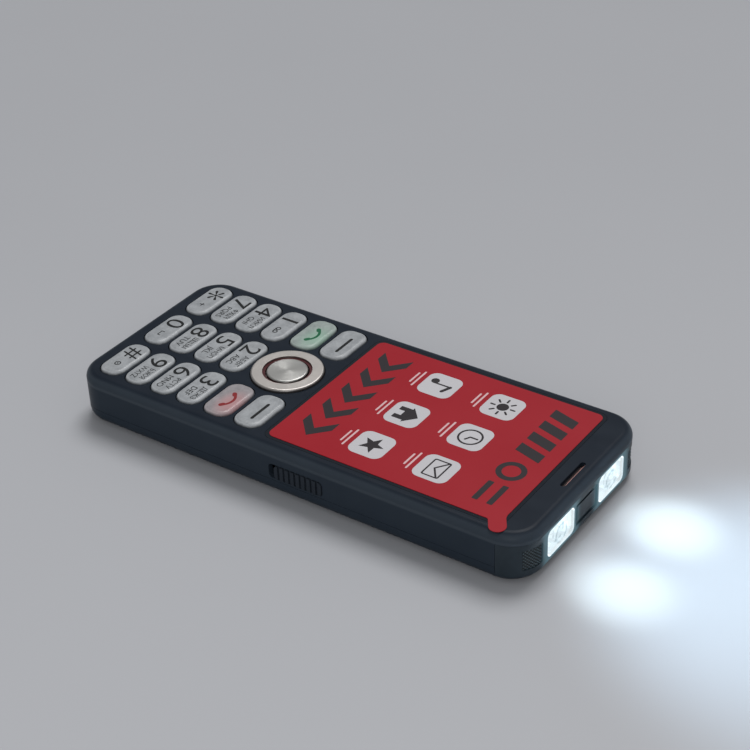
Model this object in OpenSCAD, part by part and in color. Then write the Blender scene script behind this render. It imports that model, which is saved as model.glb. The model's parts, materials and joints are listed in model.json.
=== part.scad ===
// Bar-shaped feature phone with a number keypad and two torches in its top end.
// The phone lies on its back: +X is its right side, +Y its torch end, +Z out of the screen.
// The outer size follows from the display, the keypad and the stack of parts inside.

/* [Shell] */
// Thickness of the side walls of the front housing
wall = 1.6; // [1.4:0.05:1.8]
// Thickness of the face plate
face_t = 1.55; // [1.4:0.05:1.8]
// Corner radius seen from the front
corner_r = 8; // [7:0.25:9]
// Radius along the front edge
front_edge_r = 2.2; // [1.8:0.1:2.4]
// Radius along the inner edge under the face plate
inner_edge_r = 0.6; // [0.4:0.1:0.8]
// Radius along the back edge
back_edge_r = 3; // [2.4:0.1:3.3]
// Height of the parting line above the back
seam_z = 4; // [3.8:0.05:4.2]
// Gap at the parting line
seam_gap = 0.1; // [0.05:0.05:0.2]
// Thickness of the back cover's floor
floor_t = 1.2; // [1:0.1:1.4]
// Thickness of the back cover's walls
cover_wall = 1.4; // [1.2:0.05:1.5]
// How far the back cover slides to come free
cover_travel = 6; // [5:0.5:6.5]
// Length of a tab on the back cover
hook_l = 5; // [4:0.25:6]
// Height of a tab on the back cover
hook_h = 0.6; // [0.5:0.05:0.7]
// How far a tab stands in from the back cover's wall
hook_in = 0.55; // [0.45:0.05:0.6]
// Margin beside the display window
side_margin = 2.9; // [2.6:0.1:3.4]
// Margin below the lowest row of keys
bottom_margin = 4.37; // [4:0.1:5]
// Margin above the display window
top_margin = 7.5; // [7:0.1:8.5]
// Gap between pieces that are fitted and stay still
fit = 0.15; // [0.1:0.01:0.2]

/* [Number keys] */
// Width of a number key
key_w = 14.7; // [13.5:0.1:15.5]
// Length of a number key along the phone
key_l = 7.35; // [6.8:0.05:8]
// Corner radius of a key
key_r = 3.3; // [2.8:0.1:3.3]
// Radius of the rounded rim on top of a key
key_edge_r = 1.2; // [0.8:0.1:1.4]
// Height of a key above the face
key_rise = 0.7; // [0.5:0.05:1]
// Gap between two columns of keys
column_gap = 1.84; // [1.7:0.05:2.4]
// Gap between two rows of keys
row_gap = 0.8; // [0.75:0.05:1.2]
// Gap round a key in its opening
key_fit = 0.18; // [0.12:0.01:0.2]
// Travel of a key
key_travel = 0.4; // [0.3:0.05:0.5]
// Overhang of the retaining flange at the two ends of a key
flange_end = 0.7; // [0.5:0.05:0.75]
// Overhang of the retaining flange along a key
flange_side = 0.25; // [0.22:0.01:0.3]
// Thickness of the retaining flange
flange_t = 0.5; // [0.4:0.05:0.7]
// Gap between the flange and the face plate
flange_gap = 0.1; // [0.05:0.01:0.2]
// Diameter of the plunger under a key
plunger_d = 2.4; // [2:0.1:3]
// Length of the plunger
plunger_l = 1.4; // [1.2:0.1:1.8]

/* [Navigation block] */
// Outer radius of the navigation ring
nav_r = 9.1; // [8.5:0.1:9.8]
// Inner radius of the navigation ring
nav_in_r = 6.2; // [6:0.05:6.4]
// Height of the navigation ring above the face
nav_rise = 0.8; // [0.6:0.05:1.1]
// Radius of the rim on the navigation ring
nav_edge_r = 0.45; // [0.3:0.05:0.6]
// Gap round the navigation ring in its opening
nav_fit = 0.25; // [0.2:0.01:0.3]
// Tilt of the navigation ring to each side, in degrees
nav_tilt = 2.5; // [1.5:0.25:3]
// Inner radius of the red trim
trim_r = 5.5; // [5.4:0.05:5.6]
// Depth of the red trim below the ring's top
trim_drop = 0.45; // [0.3:0.05:0.6]
// Height of the red trim
trim_h = 1.1; // [0.8:0.1:1.3]
// Radius of the centre button
ok_r = 5.2; // [5:0.05:5.25]
// Thickness of the rubber rocker under the ring
rocker_t = 0.65; // [0.5:0.05:0.8]
// How far the rocker reaches under the face plate past the ring
rocker_lip = 0.5; // [0.4:0.05:0.55]
// Radius of the beads that the ring and its rocker tilt on
bead_r = 0.45; // [0.4:0.05:0.5]
// Distance of the ring's four domes from its edge
nav_dome_in = 1.7; // [1.5:0.1:2]
// Gap between the navigation ring and the top row of number keys
nav_row_gap = 0.845; // [0.7:0.05:1.4]
// Gap between the navigation ring and the display window
nav_window_gap = 1.685; // [1.5:0.05:2.5]
// Gap between the navigation ring and the keys beside it
nav_key_gap = 1.03; // [0.95:0.01:1.5]
// Length of a soft key or a call key along the phone
side_key_l = 8; // [7.2:0.1:8.2]
// Gap between a soft key and the call key below it
side_key_gap = 1.23; // [1:0.05:1.5]
// How far the side keys stand outside the number keys
side_key_out = 0.24; // [0:0.02:0.3]

/* [Display] */
// Width of the display window
window_w = 49.2; // [47:0.2:52]
// Length of the display window
window_l = 65.2; // [60:0.2:70]
// Corner radius of the display window
window_r = 2.4; // [1.8:0.1:3]
// Thickness of the display window
window_t = 1; // [0.8:0.05:1.1]
// Width of the ledge that carries the display window
window_ledge = 1.6; // [1.2:0.1:2]
// Margin of the protective film inside the window's edge
film_margin = 0.9; // [0.6:0.05:1.2]
// Thickness of the protective film
film_t = 0.12; // [0.1:0.01:0.2]
// Corner radius of the protective film
film_r = 1.8; // [1.2:0.1:2.4]
// Width of the film's pull tab
tab_w = 4; // [3.4:0.1:4.4]
// Length of the film's pull tab from its root to the middle of its round end
tab_l = 3.9; // [3.4:0.1:4.4]
// Distance of the tab's root from the film's corner along each edge
tab_inset = 2; // [1.5:0.1:2.4]
// Direction of the pull tab from the film's short edge, in degrees
tab_angle = 33; // [30:1:45]
// Radius of the fillet between the pull tab and the film's long edge
tab_fillet = 1; // [0.6:0.1:1.4]
// Radius of the fillet between the pull tab and the film's short edge
tab_blend = 3.5; // [3:0.1:4]
// How far those fillets bite into the edges they meet
tab_bite = 0.03; // [0.02:0.01:0.05]
// How far the display panel stays inside the window at each side
lcd_side = 2.9; // [2.8:0.1:4]
// How far the display panel stays inside the window at each end
lcd_end = 3.5; // [3.4:0.1:4.5]
// Thickness of the display panel
lcd_t = 1.9; // [1.6:0.05:2]
// How far the display panel stands above its frame
lcd_proud = 0.4; // [0.2:0.05:0.6]
// Wall of the frame that holds the display panel
lcd_frame_wall = 0.7; // [0.5:0.05:0.75]
// Width of the display's flat cable
flex_w = 12; // [8:0.5:16]
// Thickness of the display's flat cable
flex_t = 0.15; // [0.1:0.01:0.2]

/* [Earpiece] */
// Length of the earpiece slot
ear_l = 10.3; // [8:0.1:12]
// Height of the earpiece slot
ear_h = 1.3; // [1:0.05:1.6]
// Margin of the mesh behind the slot
mesh_margin = 0.5; // [0.4:0.05:0.6]
// Thickness of the mesh
mesh_t = 0.3; // [0.2:0.02:0.34]
// Depth of the mesh's seat under the face plate
mesh_seat = 0.6; // [0.5:0.02:0.7]
// Width of the earpiece receiver
receiver_w = 9.4; // [8:0.1:9.5]
// Length of the earpiece receiver
receiver_l = 4; // [3.6:0.1:4.1]
// Thickness of the earpiece receiver
receiver_t = 2.2; // [1.8:0.1:2.4]

/* [Torch end] */
// Half the distance between the two torches
torch_x = 11.5; // [11.3:0.1:12]
// Width of a torch window
torch_w = 11.8; // [11:0.1:12]
// Height of a torch window
torch_h = 7.2; // [6.6:0.1:7.6]
// Corner radius of a torch window
torch_r = 1.5; // [1:0.1:2]
// Distance of the torches below the face
torch_drop = 7.1; // [6.8:0.05:7.3]
// Rim of the bezel above and below a torch
bezel_rim = 0.6; // [0.4:0.05:0.7]
// How far round the corners the bezel's ends sit
bezel_set = 0.45; // [0.3:0.05:0.8]
// How far the bezel sits back from the outer surface
bezel_recess = 0.06; // [0.04:0.02:0.3]
// Gap between the bezel and the housing
bezel_gap = 0.08; // [0.05:0.01:0.12]
// Depth of the pockets in the bezel
pocket_depth = 0.4; // [0.3:0.02:0.5]
// Width of the panel between the torches
panel_w = 9.8; // [9:0.1:10]
// Height of the panel between the torches
panel_h = 6; // [5.6:0.1:7]
// Border round the raised middle of the panel
panel_border = 0.9; // [0.6:0.05:1.2]
// Height of a grip pocket on a corner
grip_h = 5.3; // [4.5:0.1:6]
// Angle of a grip pocket round its corner, in degrees
grip_angle = 42; // [30:1:50]
// Gap round a torch lens in the bezel
lens_fit = 0.08; // [0.05:0.01:0.12]
// Rim of a reflector that bears on the bezel
reflector_rim = 0.6; // [0.4:0.05:0.7]
// Depth of a reflector
reflector_l = 4.9; // [4:0.1:5.2]
// Radius of a reflector's bowl at its front
bowl_r = 7.3; // [6.8:0.1:7.6]
// Wall of a reflector
reflector_wall = 0.7; // [0.5:0.05:0.8]
// Side of a torch light chip
led_w = 2.8; // [2:0.1:3.2]
// Thickness of a torch light chip
led_t = 0.9; // [0.6:0.05:1.2]
// Thickness of the torch board
torch_board_t = 0.8; // [0.6:0.05:1]

/* [Torch slider] */
// Length of the slider's slot
slot_l = 15.4; // [14:0.1:17]
// Height of the slider's slot
slot_h = 4; // [3.6:0.05:4.2]
// Corner radius of the slider's slot
slot_r = 1.1; // [0.8:0.05:1.4]
// Distance of the slider below the face
slot_drop = 6.6; // [6.4:0.05:6.7]
// Distance of the slot's middle above the display window's lower edge
slot_up = 11.6; // [10.5:0.1:14]
// Travel of the slider
slide_travel = 1.6; // [1.2:0.1:2]
// Gap round the slider
slide_fit = 0.15; // [0.1:0.01:0.2]
// How far the slider's ribs stand out of the wall
slide_rise = 0.3; // [0.1:0.02:0.4]
// Depth of the grooves between the slider's ribs
rib_depth = 0.45; // [0.3:0.05:0.6]
// Width of those grooves
rib_groove = 0.6; // [0.4:0.05:0.8]
// Distance between two ribs
rib_pitch = 1.55; // [1.3:0.05:1.6]
// Number of grooves along the slider
rib_count = 8; // [6:1:8]
// Thickness of the slider's plate behind the wall
slide_plate_t = 0.7; // [0.5:0.05:0.8]
// Overhang of that plate along the slot
slide_lip = 1.2; // [0.8:0.1:1.5]
// Overhang of that plate above and below the slot
slide_lip_z = 0.35; // [0.3:0.05:0.4]
// Length of the torch switch
switch_l = 6.7; // [5:0.1:8]
// Width of the torch switch
switch_w = 2; // [1.6:0.1:2.1]
// Height of the torch switch
switch_h = 1.4; // [1.2:0.1:1.8]

/* [Inside] */
// Distance of the battery from the housing's inner wall
battery_side = 5.4; // [5.2:0.1:6.5]
// Length of the battery
battery_l = 66; // [58:0.5:72]
// Thickness of the battery
battery_t = 5.5; // [5:0.1:6.2]
// Gap under the battery
battery_gap = 0.15; // [0.1:0.01:0.3]
// Gap between the battery and the plate above it
label_gap = 0.1; // [0.05:0.01:0.2]
// Gap round the battery in its bay
bay_fit = 0.2; // [0.15:0.01:0.25]
// Wall of the battery bay
bay_wall = 0.7; // [0.5:0.05:0.8]
// Thickness of the rear housing's plate
plate_t = 0.8; // [0.7:0.05:1.1]
// Thickness of the rear housing's skirt
skirt_t = 0.9; // [0.8:0.05:1]
// Thickness of the main board
board_t = 1; // [0.8:0.05:1.2]
// Gap round the main board
board_fit = 0.35; // [0.25:0.01:0.45]
// Thickness of the dome sheet
sheet_t = 0.15; // [0.1:0.01:0.2]
// Diameter of a dome
dome_d = 5; // [4:0.1:5.4]
// Height of a dome
dome_h = 0.3; // [0.2:0.02:0.4]
// Gap round the domes and the plungers in the keypad mat
mat_gap = 0.4; // [0.3:0.05:0.5]
// Margin of the keypad mat inside the housing
mat_margin = 0.9; // [0.7:0.05:1.1]
// Gap left where two pieces close up, such as under a fully pressed key
press_clear = 0.05; // [0.03:0.01:0.1]
// Radius of a screw boss
boss_r = 1.35; // [1.2:0.05:1.4]
// Radius of a screw's shank
screw_r = 0.8; // [0.7:0.05:0.9]
// Radius of a screw's head
head_r = 1.4; // [1.2:0.05:1.45]
// Thickness of a screw's head
head_t = 0.6; // [0.5:0.05:0.8]
// Gap round a screw's shank
screw_fit = 0.05; // [0.03:0.01:0.08]
// Width of the loudspeaker
speaker_w = 18; // [15:0.5:20]
// Length of the loudspeaker
speaker_l = 13; // [11:0.5:14.5]
// Thickness of the loudspeaker
speaker_t = 3.2; // [2.8:0.1:3.6]
// Distance of the loudspeaker from the phone's middle
speaker_x = 8; // [7:0.25:9]
// Wall of the loudspeaker's gasket
gasket_wall = 1; // [0.8:0.1:1.4]
// Length of a slot in the loudspeaker grille
grille_l = 10; // [8:0.5:12]
// Width of a slot in the loudspeaker grille
grille_w = 1; // [0.8:0.1:1.2]
// Distance between two slots of the grille
grille_pitch = 2; // [1.8:0.1:2.2]
// Number of slots in the grille
grille_count = 5; // [3:1:5]
// Diameter of the vibration motor
motor_d = 8; // [7:0.25:9]
// Distance of the vibration motor from the phone's middle
motor_x = 14.5; // [13.5:0.25:15]
// Thickness of the vibration motor
motor_t = 2.8; // [2.4:0.1:3.4]
// Width of a card holder
sim_w = 15.5; // [14:0.25:16.5]
// Length of a card holder
sim_l = 13; // [12:0.25:14.5]
// Thickness of a card holder
sim_t = 1.8; // [1.5:0.1:2.2]
// Width of the shielding can
can_w = 14; // [11:0.5:15]
// Length of the shielding can
can_l = 9; // [7:0.5:10]
// Thickness of the shielding can
can_t = 1.6; // [1.2:0.1:2]
// Width of the charging socket
usb_w = 8.9; // [8.4:0.1:9]
// Height of the charging socket
usb_h = 3.2; // [2.8:0.05:3.25]
// Depth of the charging socket
usb_l = 7.3; // [6.5:0.1:8]
// Wall of the charging socket's shell
usb_wall = 0.3; // [0.2:0.02:0.4]
// Width of the tongue in the charging socket
tongue_w = 6.5; // [6:0.1:6.7]
// Diameter of the microphone's hole
mic_d = 1; // [0.8:0.1:1.2]
// Side of the microphone
mic_w = 3; // [2.5:0.1:3.5]
// Thickness of the microphone
mic_t = 1.2; // [1:0.1:1.5]
// Gap between neighbours on the main board
zone_gap = 1.5; // [1:0.1:1.6]
// Width of the battery contact block
contact_w = 9; // [7:0.5:11]
// Length of the battery contact block
contact_l = 2; // [1.6:0.1:2.2]
// Thickness of the antenna strip
antenna_t = 0.3; // [0.2:0.02:0.4]
// Width of the antenna strip
antenna_w = 12; // [9:0.5:12.5]
// Length of the antenna strip along the phone
antenna_l = 8; // [6:0.5:9]
// Width of the antenna's arms
antenna_arm = 2; // [1.6:0.1:2.4]

/* [Hidden] */
$fn = 96;

// Corner radius of a slot with round ends, as a share of its width
pill = 0.45;

// Plan of the face
pitch_x = key_w + column_gap;
pitch_y = key_l + row_gap;
keypad_w = 3 * key_w + 2 * column_gap + 2 * side_key_out;
body_w = max(window_w, keypad_w) + 2 * side_margin;
nav_half = max(nav_r, side_key_l + side_key_gap / 2);
body_l = bottom_margin + 4 * key_l + 3 * row_gap + nav_row_gap + 2 * nav_half
    + nav_window_gap + window_l + top_margin;
end_y = body_l / 2;
row_y = -end_y + bottom_margin + key_l / 2;
nav_y = row_y + 3 * pitch_y + key_l / 2 + nav_row_gap + nav_half;
window_y = nav_y + nav_half + nav_window_gap + window_l / 2;
side_key_w = keypad_w / 2 - nav_r - nav_key_gap;
side_key_x = keypad_w / 2 - side_key_w / 2;
side_key_y = (side_key_l + side_key_gap) / 2;
ear_y = (window_y + window_l / 2 + end_y) / 2;

// Stack of the parts from the back to the face
press_gap = key_travel + press_clear;
battery_z = floor_t + battery_gap;
plate_z = battery_z + battery_t + label_gap;
board_z = plate_z + plate_t;
board_top = board_z + board_t;
sheet_top = board_top + sheet_t;
plunger_z = sheet_top + dome_h + press_gap;
flange_z = plunger_z + plunger_l;
mat_top = flange_z - press_gap;
face_z = flange_z + flange_t + flange_gap;
body_t = face_z + face_t;

// Inside of the housing
in_w = body_w - 2 * wall;
in_l = body_l - 2 * wall;
in_r = corner_r - wall;
skirt_z = floor_t + back_edge_r - cover_wall + press_clear;
skirt_w = in_w - 2 * fit;
skirt_l = in_l - 2 * fit;
skirt_r = in_r - fit;
hook_top = seam_z - fit;
hook_rows = [for (k = [-1:1]) k * in_l / 4];

// Display
film_w = window_w - 2 * film_margin;
film_l = window_l - 2 * film_margin;
lcd_w = window_w - 2 * lcd_side;
lcd_l = window_l - 2 * lcd_end;
lcd_z = face_z - press_clear - lcd_t;
lcd_frame_w = lcd_w + 2 * fit + 2 * lcd_frame_wall;
lcd_frame_l = lcd_l + 2 * fit + 2 * lcd_frame_wall;
lcd_low = window_y - lcd_frame_l / 2;
lcd_high = window_y + lcd_frame_l / 2;

// Navigation block
tilt_drop = nav_r * sin(nav_tilt);
// Slope of the ring when it tilts both ways at once
two_way_tilt = sqrt(2) * sin(nav_tilt);
rocker_r = nav_r + rocker_lip;
rocker_z = sheet_top + dome_h + press_gap + rocker_t;
ring_z = rocker_z + rocker_t + tilt_drop + press_clear;
ring_top = body_t + nav_rise;
nav_dome_x = nav_r - nav_dome_in;
trim_z = ring_top - trim_drop - trim_h;
ok_flange_r = (trim_r + nav_in_r) / 2;
ok_flange_z = trim_z - nav_in_r * two_way_tilt - flange_gap - flange_t;

// Torch end
torch_z = body_t - torch_drop;
bezel_low = torch_z - torch_h / 2 - bezel_rim;
bezel_high = torch_z + torch_h / 2 + bezel_rim;
bezel_y = end_y - bezel_recess;
bezel_start = end_y - corner_r + bezel_set;
reflector_w = torch_w + 2 * reflector_rim;
reflector_h = torch_h + 2 * reflector_rim;
reflector_y = end_y - wall - reflector_l;
torch_board_y = reflector_y - press_clear - torch_board_t;
torch_zone_x = torch_x + reflector_w / 2 + fit;

// Slider
slot_y = window_y - window_l / 2 + slot_up;
slot_z = body_t - slot_drop;
knob_l = slot_l - slide_travel - 2 * slide_fit;
knob_h = slot_h - 2 * slide_fit;
knob_y = slot_y + slide_travel / 2;
slide_plate_x = in_w / 2 - fit - slide_plate_t;
switch_x = slide_plate_x - fit - switch_w - slide_plate_t;

// Screws: two beside the torches and two between the display and the keypad
screw_x = in_w / 2 - fit - skirt_t - head_r - bezel_gap;
screw_places = [
    [screw_x, lcd_low - fit - boss_r],
    [-screw_x, lcd_low - fit - boss_r],
    [torch_zone_x + boss_r + skirt_t, lcd_high + fit + boss_r],
    [-torch_zone_x - boss_r - skirt_t, lcd_high + fit + boss_r]
];

// Places behind the main board, from the torch end down
speaker_end = end_y - back_edge_r - cover_travel - fit + gasket_wall / 2;
speaker_y = min(torch_board_y - plate_t, speaker_end) - speaker_l / 2;
contact_y = speaker_y - speaker_l / 2 - fit - contact_l / 2;
battery_y = contact_y - contact_l / 2 - bay_fit - battery_l / 2;
battery_w = in_w - 2 * battery_side;
bay_w = battery_w + 2 * bay_fit;
bay_l = battery_l + 2 * bay_fit;
sim_y = battery_y - bay_l / 2 - bay_wall - zone_gap - sim_l / 2;
sim_x = sim_w / 2 + zone_gap / 2;
can_x = usb_w / 2 + zone_gap + can_w / 2;
can_y = sim_y - sim_l / 2 - zone_gap - can_l / 2;
mic_x = usb_w / 2 + 2 * zone_gap + mic_w / 2;
mic_y = -in_l / 2 + fit + skirt_t + fit + mic_w / 2;
antenna_x = -usb_w / 2 - 2 * zone_gap - antenna_w / 2;
antenna_y = -in_l / 2 + fit + skirt_t + fit + antenna_l / 2;

// Keypad mat
mat_w = in_w - 2 * mat_margin;
mat_low = -in_l / 2 + mat_margin;
mat_high = nav_y + rocker_r + mat_margin;
mat_l = mat_high - mat_low;
mat_y = (mat_high + mat_low) / 2;
mat_r = in_r - mat_margin;
dome_round = (dome_d * dome_d / 4 + dome_h * dome_h) / (2 * dome_h);
key_places = [for (c = [-1:1], r = [0:3]) [c * pitch_x, row_y + r * pitch_y]];
side_key_places = [for (sx = [-1, 1], sy = [-1, 1]) [sx * side_key_x, nav_y + sy * side_key_y]];
nav_dome_places = [for (a = [0:90:270]) [nav_dome_x * cos(a), nav_y + nav_dome_x * sin(a)]];
dome_places = concat(key_places, side_key_places, nav_dome_places, [[0, nav_y]]);

housing_colour = [0.11, 0.13, 0.16];
cover_colour = [0.1, 0.12, 0.15];
key_colour = [0.62, 0.64, 0.66];
silver = [0.75, 0.74, 0.72];
gold = [0.83, 0.68, 0.3];
board_green = [0.08, 0.32, 0.18];
black = [0.06, 0.06, 0.07];

// Quarter of a disc in the first quadrant
module quarter(r) {
    intersection() {
        circle(r);
        square(r);
    }
}

// Rectangle with round corners, centred on the origin
module outline(w, l, r) {
    square([w, l - 2 * r], center = true);
    for (s = [-1, 1])
        translate([0, s * (l - r) / 2])
            square([w - 2 * r, r], center = true);
    for (i = [0:3])
        translate([(i == 0 || i == 3 ? 1 : -1) * (w / 2 - r), (i < 2 ? 1 : -1) * (l / 2 - r)])
            rotate(90 * i)
                quarter(r);
}

// Upright plate with round corners between two heights
module plate(w, l, r, low, high) {
    translate([0, 0, low])
        linear_extrude(high - low)
            outline(w, l, r);
}

// Section through the rim of a slab, rounded at its upper and lower edge
module rim(r, h, top, low) {
    translate([0, low])
        square([r, h - top - low]);
    if (top > 0) {
        translate([0, h - top])
            square([r - top, top]);
        translate([r - top, h - top])
            quarter(top);
    }
    if (low > 0) {
        square([r - low, low]);
        translate([r - low, low])
            mirror([0, 1])
                quarter(low);
    }
}

// Slab with round corners whose rim section is carried all the way round
module slab(w, l, r, low, high, top_edge, low_edge) {
    sx = w / 2 - r;
    sy = l / 2 - r;
    h = high - low;
    translate([0, 0, low]) {
        translate([-sx, -sy, 0])
            cube([2 * sx, 2 * sy, h]);
        for (i = [0:3])
            translate([(i == 0 || i == 3 ? sx : -sx), (i < 2 ? sy : -sy), 0])
                rotate([0, 0, 90 * i])
                    rotate_extrude(angle = 90)
                        rim(r, h, top_edge, low_edge);
        for (turn = [0, 180])
            rotate([0, 0, turn]) {
                translate([sx, sy, 0])
                    rotate([90, 0, 0])
                        linear_extrude(2 * sy)
                            rim(r, h, top_edge, low_edge);
                rotate([0, 0, 90])
                    translate([sy, sx, 0])
                        rotate([90, 0, 0])
                            linear_extrude(2 * sx)
                                rim(r, h, top_edge, low_edge);
            }
    }
}

// Block centred in X and Y between two heights
module block(w, l, low, high) {
    translate([-w / 2, -l / 2, low])
        cube([w, l, high - low]);
}

// Round-cornered prism along Y, in the place of a torch, between two Y values
module torch_prism(w, h, r, back, front) {
    translate([0, front, torch_z])
        rotate([90, 0, 0])
            linear_extrude(front - back)
                outline(w, h, r);
}

// Round-cornered prism along X at the slider's slot, between two X values
module slot_prism(y, l, h, r, near, far) {
    translate([near, y, slot_z])
        rotate([90, 0, 90])
            linear_extrude(far - near)
                outline(l, h, r);
}

// Everything that passes through the face plate for the keys
module key_openings() {
    for (p = key_places)
        translate([p[0], p[1], 0])
            plate(key_w + 2 * key_fit, key_l + 2 * key_fit, key_r + key_fit,
                face_z - face_t, body_t + face_t);
    for (p = side_key_places)
        translate([p[0], p[1], 0])
            plate(side_key_w + 2 * key_fit, side_key_l + 2 * key_fit, key_r + key_fit,
                face_z - face_t, body_t + face_t);
    translate([0, nav_y, face_z - face_t])
        cylinder(r = nav_r + nav_fit, h = 3 * face_t);
}

module front_housing() {
    color(housing_colour)
    difference() {
        union() {
            difference() {
                slab(body_w, body_l, corner_r, seam_z + seam_gap, body_t, front_edge_r, 0);
                slab(in_w, in_l, in_r, seam_z - wall, face_z, inner_edge_r, 0);
            }
            for (p = screw_places)
                translate([p[0], p[1], board_top + press_clear])
                    cylinder(r = boss_r, h = face_z - board_top);
        }
        for (p = screw_places)
            translate([p[0], p[1], board_z])
                cylinder(r = screw_r + screw_fit, h = face_z - board_z);
        key_openings();
        translate([0, window_y, 0]) {
            plate(window_w + 2 * bezel_gap, window_l + 2 * bezel_gap, window_r + bezel_gap,
                body_t - window_t, body_t + window_t);
            plate(window_w - 2 * window_ledge, window_l - 2 * window_ledge, window_r,
                face_z - face_t, body_t);
        }
        translate([0, ear_y, 0]) {
            plate(ear_l, ear_h, pill * ear_h, face_z - face_t, body_t + face_t);
            plate(ear_l + 2 * mesh_margin + 2 * bezel_gap, ear_h + 2 * mesh_margin + 2 * bezel_gap,
                pill * ear_h + mesh_margin, face_z - mesh_seat, face_z + mesh_seat);
        }
        translate([0, end_y + bezel_start, 0])
            block(body_w + wall, 2 * end_y, seam_z - wall, bezel_high + bezel_gap);
        slot_prism(slot_y, slot_l, slot_h, slot_r, in_w / 2 - wall, body_w / 2 + wall);
        translate([0, -end_y, board_z - usb_h / 2])
            rotate([90, 0, 0])
                translate([0, 0, -2 * wall])
                    linear_extrude(4 * wall)
                        outline(usb_w + 2 * fit, usb_h + 2 * fit, pill * usb_h);
        translate([mic_x, -end_y + wall + fit, board_z - mic_t])
            rotate([90, 0, 0])
                cylinder(d = mic_d, h = 2 * wall);
    }
}

// Rear housing: plate behind the main board, a skirt inside the back cover and the battery bay
module rear_housing() {
    color(black)
    difference() {
        union() {
            plate(skirt_w, skirt_l, skirt_r, plate_z, board_z);
            difference() {
                plate(skirt_w, skirt_l, skirt_r, skirt_z, plate_z);
                plate(skirt_w - 2 * skirt_t, skirt_l - 2 * skirt_t, skirt_r - skirt_t,
                    skirt_z - plate_t, plate_z);
            }
            translate([0, battery_y, 0])
                difference() {
                    block(bay_w + 2 * bay_wall, bay_l + 2 * bay_wall, skirt_z, plate_z);
                    block(bay_w, bay_l, skirt_z - plate_t, plate_z);
                }
        }
        for (p = screw_places)
            translate([p[0], p[1], plate_z - plate_t])
                cylinder(r = screw_r + screw_fit, h = 3 * plate_t);
        translate([0, end_y + torch_board_y - fit, 0])
            block(2 * torch_zone_x, 2 * end_y, skirt_z - plate_t, board_z + plate_t);
        translate([0, contact_y, 0])
            block(contact_w + 2 * fit, contact_l + 2 * fit + bay_wall,
                skirt_z - plate_t, board_z + plate_t);
        for (s = [-1, 1])
            translate([s * sim_x, sim_y, 0])
                block(sim_w + 2 * fit, sim_l + 2 * fit, plate_z - plate_t, board_z + plate_t);
        translate([can_x, can_y, 0])
            block(can_w + 2 * fit, can_l + 2 * fit, plate_z - plate_t, board_z + plate_t);
        translate([0, -end_y + usb_l / 2, 0])
            block(usb_w + 2 * fit, usb_l + 2 * zone_gap, board_z - usb_h - fit, board_z + plate_t);
        translate([mic_x, mic_y, 0])
            block(mic_w + 2 * fit, mic_w + 2 * fit, plate_z - plate_t, board_z + plate_t);
        translate([mic_x, -end_y + wall + skirt_t + 2 * fit, board_z - mic_t])
            rotate([90, 0, 0])
                cylinder(d = mic_d, h = 2 * wall);
        translate([switch_x - fit + in_w / 2, slot_y, 0])
            block(in_w, slot_l + 2 * slide_lip + slide_travel, slot_z - slot_h / 2 - slide_lip_z - fit,
                board_z + plate_t);
        for (s = [-1, 1])
            cover_track(s);
    }
}

// Groove along one side of the skirt, with the ways out for the back cover's tabs
module cover_track(s) {
    depth = (skirt_w - body_w) / 2 + cover_wall + hook_in + fit;
    x = s * (skirt_w / 2 + fit);
    reach = 2 * (depth + fit);
    translate([x, 0, 0])
        block(reach, in_l - 2 * corner_r, hook_top - hook_h - fit, hook_top + fit);
    for (y = hook_rows)
        translate([x, y - cover_travel, 0])
            block(reach, hook_l + 2 * fit, skirt_z - plate_t, hook_top);
}

module back_cover() {
    color(cover_colour)
    difference() {
        union() {
            difference() {
                slab(body_w, body_l, corner_r, 0, seam_z, 0, back_edge_r);
                slab(body_w - 2 * cover_wall, body_l - 2 * cover_wall, corner_r - cover_wall,
                    floor_t, seam_z + cover_wall, 0, back_edge_r - cover_wall);
            }
            for (s = [-1, 1], y = hook_rows)
                translate([s * (body_w / 2 - cover_wall), y, 0])
                    block(2 * hook_in, hook_l, hook_top - hook_h, hook_top);
        }
        translate([0, end_y + bezel_start, 0])
            block(body_w + wall, 2 * end_y, bezel_low - bezel_gap, seam_z + wall);
        for (k = [0:grille_count - 1])
            translate([-speaker_x, speaker_y + (k - (grille_count - 1) / 2) * grille_pitch, 0])
                plate(grille_l, grille_w, pill * grille_w, -floor_t, 2 * floor_t);
    }
}

// Band round the torch end, with a framed panel between the torches and a grip pocket on each corner
module torch_bezel() {
    color(black)
    difference() {
        intersection() {
            difference() {
                plate(body_w - 2 * bezel_recess, body_l - 2 * bezel_recess, corner_r - bezel_recess,
                    bezel_low, bezel_high);
                plate(in_w, in_l, in_r, bezel_low - wall, bezel_high + wall);
            }
            translate([0, end_y + bezel_start + bezel_gap, 0])
                block(2 * body_w, 2 * end_y, bezel_low - wall, bezel_high + wall);
        }
        for (s = [-1, 1])
            translate([s * torch_x, 0, 0])
                torch_prism(torch_w, torch_h, torch_r, reflector_y, end_y + wall);
        difference() {
            torch_prism(panel_w, panel_h, pocket_depth, bezel_y - pocket_depth, end_y + wall);
            torch_prism(panel_w - 2 * panel_border, panel_h - 2 * panel_border, pocket_depth,
                bezel_y - 2 * pocket_depth, bezel_y - pocket_depth / 3);
        }
        for (s = [0, 1])
            mirror([s, 0, 0])
                translate([body_w / 2 - corner_r, end_y - corner_r, torch_z - grip_h / 2])
                    rotate([0, 0, 90 - grip_angle])
                        rotate_extrude(angle = grip_angle)
                            translate([corner_r - bezel_recess - pocket_depth, 0])
                                square([wall, grip_h]);
    }
}

module display_window() {
    color(black)
    translate([0, window_y, 0])
        plate(window_w, window_l, window_r, body_t - window_t, body_t);
}

// Middle of a fillet between a side of the pull tab and the film's edge along Y, from the film's corner
function neck_place(angle, r) =
    [r, (tab_inset + r) * tan(angle) - (tab_w / 2 + r) / cos(angle) - tab_inset];

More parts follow.
